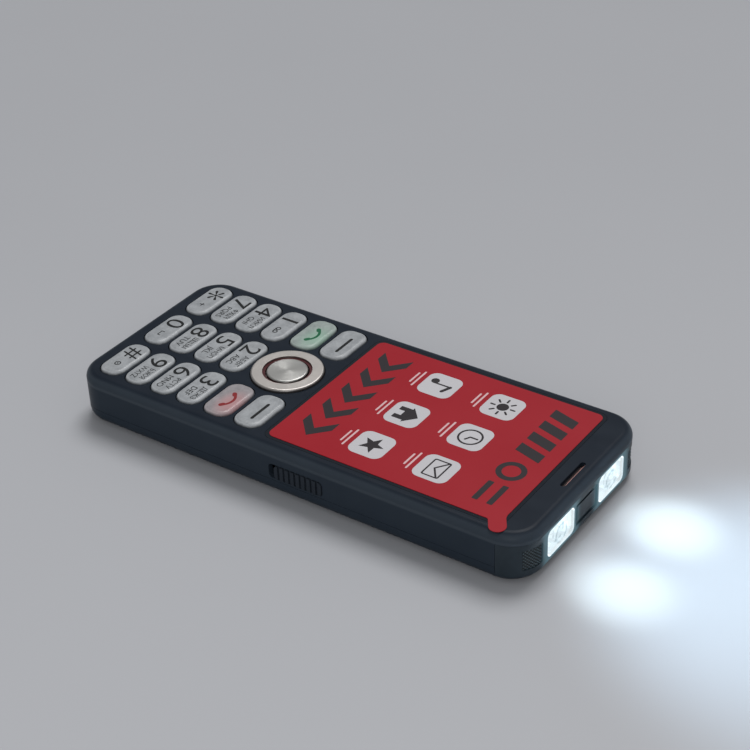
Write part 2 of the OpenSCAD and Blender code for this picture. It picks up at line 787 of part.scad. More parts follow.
// Corners of the room between a side of the pull tab, the film's edge and the middle of their fillet
function neck_room(angle, r) = let (place = neck_place(angle, r))
    [[-tab_inset, place[1]], place, place + (tab_w / 2 + r) * [-sin(angle), cos(angle)],
        [-tab_inset, -tab_inset]];

// A point with its X and Y exchanged
function across(p) = [p[1], p[0]];

module screen_film() {
    color([0.65, 0.16, 0.2])
    translate([film_w / 2, window_y + film_l / 2, body_t])
        linear_extrude(film_t)
            difference() {
                union() {
                    translate([-film_w / 2, -film_l / 2])
                        outline(film_w, film_l, film_r);
                    translate([-tab_inset, -tab_inset])
                        rotate(tab_angle) {
                            translate([0, -tab_w / 2])
                                square([tab_l, tab_w]);
                            translate([tab_l, 0])
                                circle(d = tab_w);
                        }
                    polygon(neck_room(tab_angle, tab_fillet));
                    polygon([for (i = [3:-1:0]) across(neck_room(90 - tab_angle, tab_blend)[i])]);
                }
                translate(neck_place(tab_angle, tab_fillet))
                    circle(tab_fillet + tab_bite);
                translate(across(neck_place(90 - tab_angle, tab_blend)))
                    circle(tab_blend + tab_bite);
            }
}

module lcd_panel() {
    color(black)
    translate([0, window_y, 0])
        block(lcd_w, lcd_l, lcd_z, lcd_z + lcd_t);
}

// Tray that holds the display panel over the main board
module lcd_frame() {
    color([0.85, 0.85, 0.84])
    translate([0, window_y, 0])
        difference() {
            block(lcd_frame_w, lcd_frame_l, board_top, lcd_z + lcd_t - lcd_proud);
            block(lcd_w + 2 * fit, lcd_l + 2 * fit, lcd_z, lcd_z + 2 * lcd_t);
        }
}

// Flat cable of the display: it lies on the board and turns up against the frame
module lcd_flex() {
    color([0.75, 0.42, 0.12])
    translate([0, lcd_low - fit, 0]) {
        translate([-flex_w / 2, mat_high + fit - lcd_low + fit, board_top])
            cube([flex_w, lcd_low - 2 * fit - mat_high, flex_t]);
        translate([-flex_w / 2, -flex_t, board_top])
            cube([flex_w, flex_t, lcd_z - board_top]);
    }
}

module main_board() {
    color(board_green)
    difference() {
        plate(in_w - 2 * board_fit, in_l - 2 * board_fit, in_r - board_fit, board_z, board_top);
        translate([0, end_y + torch_board_y - fit, 0])
            block(2 * torch_zone_x, 2 * end_y, board_z - board_t, board_top + board_t);
        translate([slide_plate_x - 2 * slide_plate_t + in_w / 2, slot_y, 0])
            block(in_w, slot_l + 2 * slide_lip + slide_travel, board_z - board_t, board_top + board_t);
        for (p = screw_places)
            translate([p[0], p[1], board_z - board_t])
                cylinder(r = screw_r + screw_fit, h = 3 * board_t);
    }
}

// Room for the screw bosses in the layers of the keypad
module boss_room(low, high) {
    for (p = screw_places)
        translate([p[0], p[1], low])
            cylinder(r = boss_r + mat_gap / 2, h = high - low);
}

module dome_sheet() {
    color(silver) {
        difference() {
            translate([0, mat_y, 0])
                plate(mat_w, mat_l, mat_r, board_top, sheet_top);
            boss_room(board_z, mat_top);
        }
        for (p = dome_places)
            translate([p[0], p[1], sheet_top])
                rotate_extrude()
                    intersection() {
                        translate([0, dome_h - dome_round])
                            circle(dome_round);
                        square([dome_d, dome_h]);
                    }
    }
}

module keypad_mat() {
    color([0.35, 0.36, 0.38])
    difference() {
        translate([0, mat_y, 0])
            plate(mat_w, mat_l, mat_r, sheet_top, mat_top);
        for (p = dome_places) {
            translate([p[0], p[1], sheet_top - sheet_t])
                cylinder(d = dome_d + 2 * mat_gap, h = sheet_t + dome_h + mat_gap);
            translate([p[0], p[1], sheet_top])
                cylinder(d = plunger_d + 2 * mat_gap, h = mat_top);
        }
        translate([0, nav_y, rocker_z - rocker_r * two_way_tilt - press_clear])
            cylinder(r = rocker_r + mat_gap, h = mat_top);
        boss_room(board_z, mat_top + mat_gap);
    }
}

// Domed keycap with its flange under the face plate and its plunger over a dome
module keycap(w, l) {
    slab(w, l, key_r, flange_z, body_t + key_rise, key_edge_r, 0);
    plate(w + 2 * flange_end, l + 2 * flange_side, key_r + flange_side, flange_z, flange_z + flange_t);
    translate([0, 0, plunger_z])
        cylinder(d = plunger_d, h = plunger_l + flange_t);
}

// Number key by column from the left and row from the bottom
module number_key(column, row) {
    color(key_colour)
    translate([(column - 1) * pitch_x, row_y + row * pitch_y, 0])
        keycap(key_w, key_l);
}

// Key beside the navigation ring
module side_key(sx, sy, tint) {
    color(tint)
    translate([sx * side_key_x, nav_y + sy * side_key_y, 0])
        keycap(side_key_w, side_key_l);
}

module key_1() { number_key(0, 3); }
module key_2() { number_key(1, 3); }
module key_3() { number_key(2, 3); }
module key_4() { number_key(0, 2); }
module key_5() { number_key(1, 2); }
module key_6() { number_key(2, 2); }
module key_7() { number_key(0, 1); }
module key_8() { number_key(1, 1); }
module key_9() { number_key(2, 1); }
module key_star() { number_key(0, 0); }
module key_0() { number_key(1, 0); }
module key_hash() { number_key(2, 0); }
module soft_key_left() { side_key(-1, 1, key_colour); }
module soft_key_right() { side_key(1, 1, key_colour); }
module call_key() { side_key(-1, -1, [0.55, 0.66, 0.6]); }
module end_key() { side_key(1, -1, [0.68, 0.57, 0.58]); }

// Rubber rocker that carries the ring: a plunger over each of its four domes, and beads to tilt on
module nav_rocker() {
    color([0.3, 0.3, 0.32])
    translate([0, nav_y, 0])
        difference() {
            union() {
                translate([0, 0, rocker_z])
                    cylinder(r = rocker_r, h = rocker_t);
                for (a = [0, 180])
                    rotate([0, 0, a])
                        translate([nav_r + bezel_gap, 0, rocker_z + rocker_t])
                            rotate([0, 90, 0])
                                cylinder(r = bead_r, h = rocker_lip - 2 * bezel_gap);
                for (a = [0:90:270])
                    rotate([0, 0, a])
                        translate([nav_dome_x, 0, plunger_z])
                            cylinder(d = plunger_d, h = rocker_z - plunger_z + rocker_t);
            }
            translate([0, 0, rocker_z - rocker_t])
                cylinder(r = nav_in_r, h = 3 * rocker_t);
        }
}

// Ring with a rounded rim that tilts on two beads on the rocker
module nav_ring() {
    color(silver)
    translate([0, nav_y, 0]) {
        translate([0, 0, ring_z])
            rotate_extrude()
                difference() {
                    rim(nav_r, ring_top - ring_z, nav_edge_r, 0);
                    square([nav_in_r, 2 * ring_top]);
                }
        for (a = [0, 180])
            rotate([0, 0, a])
                translate([0, nav_r - nav_edge_r, rocker_z + rocker_t + press_clear + bead_r])
                    rotate([90, 0, 0])
                        cylinder(r = bead_r, h = nav_r - nav_in_r - 2 * nav_edge_r);
    }
}

module nav_trim() {
    color([0.35, 0.08, 0.1])
    translate([0, nav_y, trim_z])
        difference() {
            cylinder(r = nav_in_r, h = trim_h);
            translate([0, 0, -trim_h])
                cylinder(r = trim_r, h = 3 * trim_h);
        }
}

// Centre button: a disc with a rounded rim, a flange under the trim and a plunger
module ok_button() {
    color(silver)
    translate([0, nav_y, 0]) {
        translate([0, 0, ok_flange_z])
            rotate_extrude() {
                rim(ok_r, ring_top - ok_flange_z, nav_edge_r, 0);
                square([ok_flange_r, flange_t]);
            }
        translate([0, 0, plunger_z])
            cylinder(d = plunger_d, h = ok_flange_z - plunger_z + flange_t);
    }
}

module earpiece_mesh() {
    color([0.5, 0.35, 0.33])
    translate([0, ear_y, 0])
        plate(ear_l + 2 * mesh_margin, ear_h + 2 * mesh_margin, pill * ear_h + mesh_margin - bezel_gap,
            face_z + mesh_seat - mesh_t - press_clear, face_z + mesh_seat - press_clear);
}

module earpiece_receiver() {
    color(silver)
    translate([0, in_l / 2 - inner_edge_r - fit - receiver_l / 2, 0])
        plate(receiver_w, receiver_l, receiver_l / 4, face_z - press_clear - receiver_t,
            face_z - press_clear);
}

// Clear window of one torch
module torch_lens(s) {
    color([0.85, 0.93, 0.95])
    translate([s * torch_x, 0, 0])
        torch_prism(torch_w - 2 * lens_fit, torch_h - 2 * lens_fit, torch_r - lens_fit,
            end_y - wall + press_clear, bezel_y);
}

// Squared cup with a conical bowl and a round hole for the light chip
module torch_reflector(s) {
    color(silver)
    translate([s * torch_x, 0, 0])
        difference() {
            torch_prism(reflector_w, reflector_h, torch_r, reflector_y, end_y - wall);
            intersection() {
                translate([0, reflector_y + reflector_wall, torch_z])
                    rotate([-90, 0, 0])
                        cylinder(r1 = led_w, r2 = bowl_r, h = reflector_l);
                torch_prism(torch_w - 2 * fit, torch_h - 2 * fit, torch_r - fit, reflector_y, end_y);
            }
            translate([0, reflector_y - reflector_wall, torch_z])
                rotate([-90, 0, 0])
                    cylinder(r = led_w / sqrt(2) + fit, h = reflector_l);
        }
}

// Light chip: a square base with a low dome
module torch_led(s) {
    color([1, 0.95, 0.75])
    translate([s * torch_x, torch_board_y + torch_board_t, torch_z]) {
        translate([-led_w / 2, 0, -led_w / 2])
            cube([led_w, led_t, led_w]);
        translate([0, led_t, 0])
            rotate([-90, 0, 0])
                rotate_extrude()
                    intersection() {
                        circle(led_w / 2 - fit);
                        square(led_w);
                    }
    }
}

module torch_lens_left() { torch_lens(-1); }
module torch_lens_right() { torch_lens(1); }
module torch_reflector_left() { torch_reflector(-1); }
module torch_reflector_right() { torch_reflector(1); }
module torch_led_left() { torch_led(-1); }
module torch_led_right() { torch_led(1); }

module torch_board() {
    color(board_green)
    torch_prism(2 * torch_x + torch_w, torch_h, torch_r, torch_board_y, torch_board_y + torch_board_t);
}

// Ribbed knob in the wall, its plate behind the wall and the nub that works the switch
module torch_slider() {
    color(housing_colour)
    difference() {
        union() {
            slot_prism(knob_y, knob_l, knob_h, slot_r - slide_fit, slide_plate_x, body_w / 2 + slide_rise);
            slot_prism(knob_y, knob_l + 2 * slide_lip, slot_h + 2 * slide_lip_z, slot_r,
                slide_plate_x, slide_plate_x + slide_plate_t);
            translate([slide_plate_x, knob_y, board_z - switch_h])
                block(2 * slide_plate_t, knob_h, 0, switch_h - fit);
        }
        for (k = [0:rib_count - 1])
            translate([body_w / 2 + slide_rise, knob_y + (k - (rib_count - 1) / 2) * rib_pitch, slot_z])
                block(2 * rib_depth, rib_groove, -slot_h, slot_h);
    }
}

module torch_switch() {
    color(silver)
    translate([switch_x + switch_w / 2, slot_y, 0])
        block(switch_w, switch_l, board_z - switch_h, board_z);
}

module battery() {
    color([0.16, 0.17, 0.19])
    translate([0, battery_y, 0])
        slab(battery_w, battery_l, back_edge_r, battery_z, battery_z + battery_t, bay_wall, bay_wall);
}

// Block with three spring blades that reach towards the battery
module battery_contacts() {
    color(gold)
    translate([0, contact_y, 0]) {
        block(contact_w, contact_l, board_z - battery_t / 2, board_z);
        for (k = [-1:1])
            translate([k * contact_w / 3, -contact_l / 2, 0])
                block(contact_w / 9, bay_fit, board_z - battery_t / 2, board_z - battery_t / 3);
    }
}

module loudspeaker() {
    color(silver)
    translate([-speaker_x, speaker_y, 0])
        slab(speaker_w, speaker_l, 2 * gasket_wall, plate_z - speaker_t, plate_z, 0, gasket_wall / 2);
}

module speaker_gasket() {
    color(black)
    translate([-speaker_x, speaker_y, 0])
        difference() {
            plate(speaker_w - gasket_wall, speaker_l - gasket_wall, 2 * gasket_wall,
                floor_t + seam_gap, plate_z - speaker_t);
            plate(speaker_w - 3 * gasket_wall, speaker_l - 3 * gasket_wall, gasket_wall,
                floor_t - gasket_wall, plate_z);
        }
}

module vibration_motor() {
    color(silver)
    translate([motor_x, speaker_y, plate_z - motor_t])
        rotate_extrude()
            rim(motor_d / 2, motor_t, 0, bay_wall / 2);
}

// Card holder on the back of the main board, open towards the battery
module sim_holder(s) {
    color(silver)
    translate([s * sim_x, sim_y, 0])
        difference() {
            block(sim_w, sim_l, board_z - sim_t, board_z);
            translate([0, bay_wall, 0])
                block(sim_w - 2 * bay_wall, sim_l, board_z - sim_t + usb_wall, board_z - usb_wall);
            block(sim_w / 2, sim_l / 2, board_z - 2 * sim_t, board_z - sim_t / 2);
        }
}

module sim_holder_left() { sim_holder(-1); }
module sim_holder_right() { sim_holder(1); }

module shield_can() {
    color(silver)
    translate([can_x, can_y, 0])
        slab(can_w, can_l, bay_wall, board_z - can_t, board_z, 0, usb_wall);
}

// Oval metal shell with a tongue inside, open at the end of the phone
module charging_socket() {
    color(silver)
    translate([0, -end_y + fit, board_z - usb_h / 2])
        rotate([-90, 0, 0]) {
            difference() {
                linear_extrude(usb_l)
                    outline(usb_w, usb_h, pill * usb_h);
                translate([0, 0, -usb_wall])
                    linear_extrude(usb_l)
                        outline(usb_w - 2 * usb_wall, usb_h - 2 * usb_wall, pill * usb_h - usb_wall);
            }
            translate([-tongue_w / 2, -usb_wall, usb_wall])
                cube([tongue_w, 2 * usb_wall, usb_l - 1.5 * usb_wall]);
        }
}

module microphone() {
    color(silver)
    translate([mic_x, mic_y, 0])
        block(mic_w, mic_w, board_z - mic_t, board_z);
}

// Stepped metal strip on the rear housing's plate
module antenna() {
    color(gold)
    translate([antenna_x, antenna_y, plate_z - antenna_t])
        linear_extrude(antenna_t) {
            translate([-antenna_w / 2, -antenna_l / 2])
                square([antenna_w, antenna_arm]);
            translate([-antenna_w / 2, -antenna_l / 2])
                square([antenna_arm, antenna_l]);
            translate([-antenna_w / 2, antenna_l / 2 - antenna_arm])
                square([antenna_w - antenna_arm, antenna_arm]);
        }
}

module housing_screws() {
    color(silver)
    for (p = screw_places)
        translate([p[0], p[1], 0]) {
            translate([0, 0, plate_z - head_t])
                rotate_extrude()
                    rim(head_r, head_t, 0, head_t / 3);
            translate([0, 0, plate_z - head_t / 2])
                cylinder(r = screw_r, h = face_z - plate_z - press_gap);
        }
}

front_housing();
rear_housing();
back_cover();
torch_bezel();
display_window();
screen_film();
lcd_panel();
lcd_frame();
lcd_flex();
main_board();
dome_sheet();
keypad_mat();
key_1();
key_2();
key_3();
key_4();
key_5();
key_6();
key_7();
key_8();
key_9();
key_star();
key_0();
key_hash();
soft_key_left();
soft_key_right();
call_key();
end_key();
nav_rocker();
nav_ring();
nav_trim();
ok_button();
earpiece_mesh();
earpiece_receiver();
torch_lens_left();
torch_lens_right();
torch_reflector_left();
torch_reflector_right();
torch_led_left();
torch_led_right();
torch_board();
torch_slider();
torch_switch();
battery();
battery_contacts();
loudspeaker();
speaker_gasket();
vibration_motor();
sim_holder_left();
sim_holder_right();
shield_can();
charging_socket();
microphone();
antenna();
housing_screws();
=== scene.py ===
# %% [markdown]
# # A feature phone with a number keypad
#
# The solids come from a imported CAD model, in metres: +X is the phone's right side, +Y its torch end and +Z out of
# the screen. The lesson dresses them. It sets the camera and the light, gives every solid a finish made of shader
# nodes, and adds the thin pieces that such a model leaves out: legends on the keys, print on the film, knurled
# grips and lit torches. Each new piece rides on the body that carries it, so it moves when that body moves.

import json

import bmesh
import bpy
import numpy as np
from mathutils import Matrix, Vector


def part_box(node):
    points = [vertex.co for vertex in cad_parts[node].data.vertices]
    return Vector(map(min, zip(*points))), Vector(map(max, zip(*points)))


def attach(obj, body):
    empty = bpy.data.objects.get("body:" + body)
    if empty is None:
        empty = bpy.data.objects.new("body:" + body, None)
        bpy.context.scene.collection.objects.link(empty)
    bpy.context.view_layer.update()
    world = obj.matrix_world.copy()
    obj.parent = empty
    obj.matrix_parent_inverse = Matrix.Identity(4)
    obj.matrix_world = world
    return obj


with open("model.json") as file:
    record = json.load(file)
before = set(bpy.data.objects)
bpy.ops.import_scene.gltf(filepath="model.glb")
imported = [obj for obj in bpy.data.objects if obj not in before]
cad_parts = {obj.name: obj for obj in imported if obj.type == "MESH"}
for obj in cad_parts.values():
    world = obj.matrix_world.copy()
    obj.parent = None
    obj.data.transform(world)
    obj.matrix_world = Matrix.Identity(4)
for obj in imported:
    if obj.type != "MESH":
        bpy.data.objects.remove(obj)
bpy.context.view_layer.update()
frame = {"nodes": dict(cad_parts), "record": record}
MM = 0.001

# %% [markdown]
# ## Camera
#
# The photograph looks down on the phone from its torch end and right side. A camera can be placed by eye, or
# solved from points whose place on the phone is known. These numbers are solved, so that the film's edges and the
# keys fall where the photograph has them. The camera's axes are built from an azimuth, an elevation and a small
# roll.

# %% Camera
PICTURE, SENSOR = 750, 36
focal_pixels = 1756.89
azimuth, elevation, roll = np.radians([125.94, 33.11, -2.48])
aim = np.array([-10.27, 0.31, 13.2]) * MM
reach = 428.34 * MM

back = np.array([
    np.sin(azimuth) * np.cos(elevation),
    -np.cos(azimuth) * np.cos(elevation),
    np.sin(elevation),
])
level = np.array([np.cos(azimuth), np.sin(azimuth), 0.0])
upright = np.cross(back, level)
right = np.cos(roll) * level + np.sin(roll) * upright
up = np.cos(roll) * upright - np.sin(roll) * level

lens = bpy.data.cameras.new("photo_camera")
lens.sensor_width = SENSOR
lens.lens = SENSOR * focal_pixels / PICTURE
lens.clip_start, lens.clip_end = 0.01, 20
camera = bpy.data.objects.new("photo_camera", lens)
bpy.context.scene.collection.objects.link(camera)
turn = np.eye(4)
turn[:3, :] = np.column_stack([right, up, back, aim + reach * back])
camera.matrix_world = Matrix(turn.tolist())
bpy.context.scene.camera = camera
print("camera stands at", np.round((aim + reach * back) / MM, 1), "mm")

# %% [markdown]
# ## Colours and shader maths
#
# A finish is a network of nodes. Drawn by hand it is hard to read, so a small class wraps a socket, and an
# expression such as `1 - mask * 0.5` adds the Math nodes for it. Colours are written as they look on a screen and
# turned into the linear light that the shader works in.

# %% Shader maths as expressions
def screen(red, green, blue):
    """Linear colour of a screen colour: each channel over 255, raised along the sRGB curve."""
    share = np.array([red, green, blue]) / 255
    linear = np.where(share <= 0.04045, share / 12.92, ((share + 0.055) / 1.055) ** 2.4)
    return (*linear.tolist(), 1.0)


class Value:
    """One output socket of a material. Arithmetic on it adds Math nodes."""

    def __init__(self, tree, socket):
        self.tree, self.socket = tree, socket

    def make(self, kind, settings=None, inputs=None, out=0):
        """Adds a node of a kind, applies its settings first, then sets or links its input sockets."""
        node = self.tree.nodes.new(kind)
        for name, value in (settings or {}).items():
            setattr(node, name, value)
        for name, value in (inputs or {}).items():
            if isinstance(value, Value):
                self.tree.links.new(value.socket, node.inputs[name])
            else:
                node.inputs[name].default_value = value
        return Value(self.tree, node.outputs[out])

    def math(self, operation, *terms):
        return self.make("ShaderNodeMath", {"operation": operation}, dict(enumerate(terms)))

    def __add__(self, other):
        return self.math("ADD", self, other)

    def __radd__(self, other):
        return self.math("ADD", other, self)

    def __sub__(self, other):
        return self.math("SUBTRACT", self, other)

    def __rsub__(self, other):
        return self.math("SUBTRACT", other, self)

    def __mul__(self, other):
        return self.math("MULTIPLY", self, other)

    def __rmul__(self, other):
        return self.math("MULTIPLY", other, self)

    def __pow__(self, other):
        return self.math("POWER", self, other)

    def __abs__(self):
        return self.math("ABSOLUTE", self)

    def atleast(self, other):
        return self.math("MAXIMUM", self, other)

    def wave(self):
        return self.math("SINE", self)

    def fade(self, start, end):
        """0 at start, 1 at end, with a smooth step between them."""
        return self.make(
            "ShaderNodeMapRange",
            {"interpolation_type": "SMOOTHSTEP"},
            {"Value": self, "From Min": start, "From Max": end},
        )

    def parts(self):
        """The x, y and z of a vector."""
        first = self.make("ShaderNodeSeparateXYZ", inputs={0: self})
        return [Value(self.tree, socket) for socket in first.socket.node.outputs]

    def vector(self, operation, *terms, out=0):
        return self.make("ShaderNodeVectorMath", {"operation": operation}, dict(enumerate(terms)), out)

    def noise(self, size, detail=2.0, stretch=(1, 1, 1)):
        """Noise whose lumps are about size metres across, stretched along the axes."""
        scale = tuple(1 / (size * s) for s in stretch)
        spread = self.make("ShaderNodeMapping", inputs={"Vector": self, "Scale": scale})
        return self.make("ShaderNodeTexNoise", inputs={"Vector": spread, "Scale": 1.0, "Detail": detail})

    def tint(self, first, second):
        """Colour that goes from first at 0 to second at 1."""
        return self.make("ShaderNodeMix", {"data_type": "RGBA"}, {0: self, 6: first, 7: second}, 2)

    def bump(self, depth, strength=1.0):
        """Normal of a surface that rises by depth where the value is 1."""
        return self.make("ShaderNodeBump", inputs={"Height": self, "Distance": depth, "Strength": strength})


def finish(name, paint):
    """A material: paint(place) takes Object coordinates and returns what goes to each socket of its shader."""
    made = bpy.data.materials.new(name)
    made.use_nodes = True
    tree = made.node_tree
    shader = tree.nodes["Principled BSDF"]
    place = Value(tree, tree.nodes.new("ShaderNodeTexCoord").outputs["Object"])
    for socket, value in paint(place).items():
        if isinstance(value, Value):
            tree.links.new(value.socket, shader.inputs[socket])
        else:
            shader.inputs[socket].default_value = value
    print("finish", name, "has", len(tree.nodes), "nodes")
    return made

# %% [markdown]
# ## Stage and studio light
#
# The phone lies on a plain grey table that fills the picture. A bent backdrop could be used, but the camera looks
# down far enough that a flat floor does. Its grey is painted a shade paler on the near side, as painted light
# falling off across the table. A wide lamp behind the phone's left side gives the soft shadow on the near side, and
# the world fills it. Together they light a white sheet to just white, so colours come out as written.

# %% Floor, world and lamp
def grid_faces(rows, columns, wrap=False):
    """Quads between neighbours of a grid of points that is numbered row by row, closed round if wrap is set."""
    across = np.arange(columns if wrap else columns - 1)
    down = np.arange(rows - 1)[:, None]
    first = down * columns + across
    second = down * columns + (across + 1) % columns
    return np.stack([first, second, second + columns, first + columns], -1).reshape(-1, 4)


def mesh_of(name, points, faces, material):
    """An object at the origin from points and faces, its doubles merged and its normals outwards."""
    data = bpy.data.meshes.new(name)
    data.from_pydata(np.asarray(points).reshape(-1, 3).tolist(), [], [list(map(int, f)) for f in faces])
    shape = bmesh.new()
    shape.from_mesh(data)
    bmesh.ops.remove_doubles(shape, verts=shape.verts, dist=1e-7)
    bmesh.ops.recalc_face_normals(shape, faces=shape.faces)
    shape.to_mesh(data)
    shape.free()
    data.materials.append(material)
    made = bpy.data.objects.new(name, data)
    bpy.context.scene.collection.objects.link(made)
    return made


def paint_table(place):
    x, y, _ = place.parts()
    # Painted light: the grey is painted paler towards the near side, as the light falls off across the table.
    near = (x * 0.8 + y * 0.6).fade(-0.3, 0.25)
    cloud = place.noise(0.11, 3)
    fibre = place.noise(0.0016, 2)
    return {
        "Base Color": (near * 0.8 + cloud * 0.2).tint(screen(167, 168, 172), screen(183, 184, 188)),
        "Roughness": 0.75,
        "Specular IOR Level": 0.2,
        "Normal": fibre.bump(0.00003, 0.2),
    }


FLOOR_HALF, FLOOR_Z = 2.5, -0.02 * MM
side = np.linspace(-FLOOR_HALF, FLOOR_HALF, 3)
floor_points = np.stack([*np.meshgrid(side, side), np.full((3, 3), FLOOR_Z)], -1)
table = mesh_of("table_top", floor_points, grid_faces(3, 3), finish("table_grey", paint_table))

world = bpy.data.worlds.new("studio")
bpy.context.scene.world = world
world.use_nodes = True
sky = world.node_tree.nodes["Background"].inputs
sky["Color"].default_value = (0.96, 0.98, 1.0, 1.0)
sky["Strength"].default_value = 0.34
bpy.context.scene.view_settings.view_transform = "Standard"


def lamp(name, kind, place, target, power, **settings):
    """A lamp at a place that looks at a target."""
    light = bpy.data.lights.new(name, kind)
    light.energy = power
    for key, value in settings.items():
        setattr(light, key, value)
    made = bpy.data.objects.new(name, light)
    bpy.context.scene.collection.objects.link(made)
    away = np.array(place, float) - np.array(target, float)
    away /= np.linalg.norm(away)
    aside = np.cross([0.0, 0.0, 1.0], away)
    aside /= np.linalg.norm(aside)
    pose = np.eye(4)
    pose[:3, :] = np.column_stack([aside, np.cross(away, aside), away, np.array(place, float)])
    made.matrix_world = Matrix(pose.tolist())
    made.visible_camera = False


lamp("soft_box", "AREA", (-2.8, -0.8, 5.4), (0, 0, 0), 230.0, shape="SQUARE", size=3.0)
lamp("fill_box", "AREA", (0.75, 0.45, 0.5), (0, 0, 0), 1.8, shape="SQUARE", size=0.5)
print("stage ready: floor of", table.dimensions[0], "m")

# %% [markdown]
# ## Moulded plastic
#
# The housing, the cover and the slider are moulded with a fine matt texture. One flat colour looks like a toy, so
# the colour drifts a little, the gloss varies where hands rub, and a grain of about a fifth of a millimetre goes
# into the bump. The sides are painted a shade lighter than the face, as painted light, and the front edge carries a
# painted highlight band with a painted highlight line below it. The edge is found by the distance from the rounded
# rectangle of the body: how far a point lies past the straight part, as a length, less the corner radius.

# %% Moulded plastic
HALF_W, HALF_L, CORNER = 27.5 * MM, 64.8 * MM, 8.0 * MM
FACE = 13.2 * MM
# Colour of the painted highlight on the front edge.
EDGE_HIGHLIGHT = screen(80, 88, 96)


def inside_wall(place):
    """Depth of a point inside the body's outline: 0 at the wall and growing inwards."""
    x, y, _ = place.parts()
    past_x = (abs(x) - (HALF_W - CORNER)).atleast(0.0)
    past_y = (abs(y) - (HALF_L - CORNER)).atleast(0.0)
    return CORNER - (past_x * past_x + past_y * past_y) ** 0.5


def moulded(name, colour, worn_and_side_lit, rough, grain=0.00018):
    """Matt plastic of a colour, with drift, rubbed gloss and grain, sides painted lighter as painted light, and a
    painted highlight on the front edge.
    """

    def paint(place):
        z = place.parts()[2]
        drift = place.noise(0.012, 3)
        rub = place.noise(0.0035, 4, (1, 2.5, 1))
        # Painted highlight: a band on the rounded front edge and a line below it, close to the outer wall.
        round_edge_highlight = z.fade(FACE - 0.0024, FACE - 0.0016) * z.fade(FACE, FACE - 0.0006)
        low_highlight_line = z.fade(FACE - 0.0031, FACE - 0.0025) * z.fade(FACE - 0.0017, FACE - 0.0023)
        shoulder_highlight = inside_wall(place).fade(0.003, 0.002) * (round_edge_highlight * 0.3 + low_highlight_line * 0.45)
        # Painted light: below the face the sides are painted lighter than the face.
        wall = z.fade(FACE - 0.0001, FACE - 0.0012)
        tone = (drift * 0.3 + rub * 0.2 + wall * 0.68).tint(colour, worn_and_side_lit)
        return {
            "Base Color": shoulder_highlight.tint(tone, EDGE_HIGHLIGHT),
            "Roughness": rough + (rub - 0.5) * 0.16 - shoulder_highlight * 0.05,
            "Specular IOR Level": 0.07,
            "Normal": place.noise(grain, 2).bump(0.000012, 0.55),
        }

    return finish(name, paint)


finishes = {
    "front_shell": moulded("housing_plastic", screen(16, 23, 34), screen(47, 56, 66), 0.34),
    "back_shell": moulded("cover_plastic", screen(18, 25, 35), screen(46, 55, 65), 0.36),
    "slider": moulded("slider_plastic", screen(22, 26, 33), screen(46, 52, 60), 0.42),
    "inner_shell": moulded("inner_plastic", screen(46, 47, 50), screen(60, 61, 64), 0.55),
}
print("moulded finishes:", ", ".join(finishes))

# %% [markdown]
# ## Clear keycaps over silver paint
#
# A key is a frosted clear cap whose underside is painted silver. True glass would be slow and would lose its look
# in other programs, so the depth is painted: the cap has painted shade near the face, where it shows the opening,
# is milky on top with a painted highlight round the rim of its bevel, and is covered by a glossy coat. The call and
# end keys have a green and a red heart, so their tint fades outwards.

# %% Keycaps
def keycap(name, low, milk, heart=None, centre=(0.0, 0.0)):
    """Frosted cap: colour low as painted shade at the face, milk on top with a painted highlight on the bevel's
    rim, and a tinted heart round a centre.
    """

    def paint(place):
        x, y, z = place.parts()
        # Painted shade: the cap darkens towards the face, and the rim of the bevel gets a painted highlight.
        out_of_shade = z.fade(FACE - 0.0001, FACE + 0.0005)
        rim = out_of_shade * z.fade(FACE + 0.00068, FACE + 0.0005)
        cloud = place.noise(0.0022, 3)
        fleck = place.noise(0.0006, 2)
        colour = (out_of_shade * 0.62 + (cloud - 0.5) * 0.65 + (fleck - 0.5) * 0.35 + rim * 0.3).tint(low, milk)
        if heart:
            along = (x - centre[0]) * 0.7
            across = y - centre[1]
            far = (along * along + across * across) ** 0.5
            colour = (far.fade(0.0048, 0.0006) * 0.85).tint(colour, heart)
        return {
            "Base Color": colour,
            "Roughness": 0.3 + cloud * 0.16,
            "Specular IOR Level": 0.3,
            "Coat Weight": 0.22,
            "Coat Roughness": 0.22,
            "Normal": cloud.bump(0.00004, 0.5),
        }

    return finish(name, paint)


def middle(node):
    """Centre of a node's box in metres."""
    low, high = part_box(node)
    return (np.array(low) + np.array(high)) / 2


# The top colour, and the colour of the painted shade at the foot of each cap.
MILK, DEEP_SHADE = screen(178, 181, 184), screen(80, 84, 89)
HEART = np.array([1.5, 1.8]) * MM
finishes["key_cap"] = keycap("keycap_silver", DEEP_SHADE, MILK)
finishes["call_cap"] = keycap(
    "keycap_green", DEEP_SHADE, screen(172, 184, 178), screen(144, 176, 158), middle("call_key")[:2] + HEART
)
finishes["end_cap"] = keycap(
    "keycap_red", DEEP_SHADE, screen(170, 162, 164), screen(180, 132, 134), middle("end_key")[:2] + HEART
)

# %% [markdown]
# ## Spun and brushed metal
#
# The ring and the centre button are turned on a lathe, so their surface is a set of fine circles. Stretched
# highlights could come from the shader's anisotropy, but that needs a tangent. Here the normal itself leans
# outwards and inwards in a wave of the radius, one turn for each mark of the tool: the lamp then draws the same
# bow-tie of light on the disc. The lean fades out at the very middle, where no direction is outward, and at the
# rim. Sheet metal is brushed along one axis instead, by stretched noise.

# %% Metals
FEED = 2 * np.pi / (0.05 * MM)


def shade(colour, share):
    """A share of a colour: each channel times the share."""
    return (*(share * channel for channel in colour[:3]), 1.0)


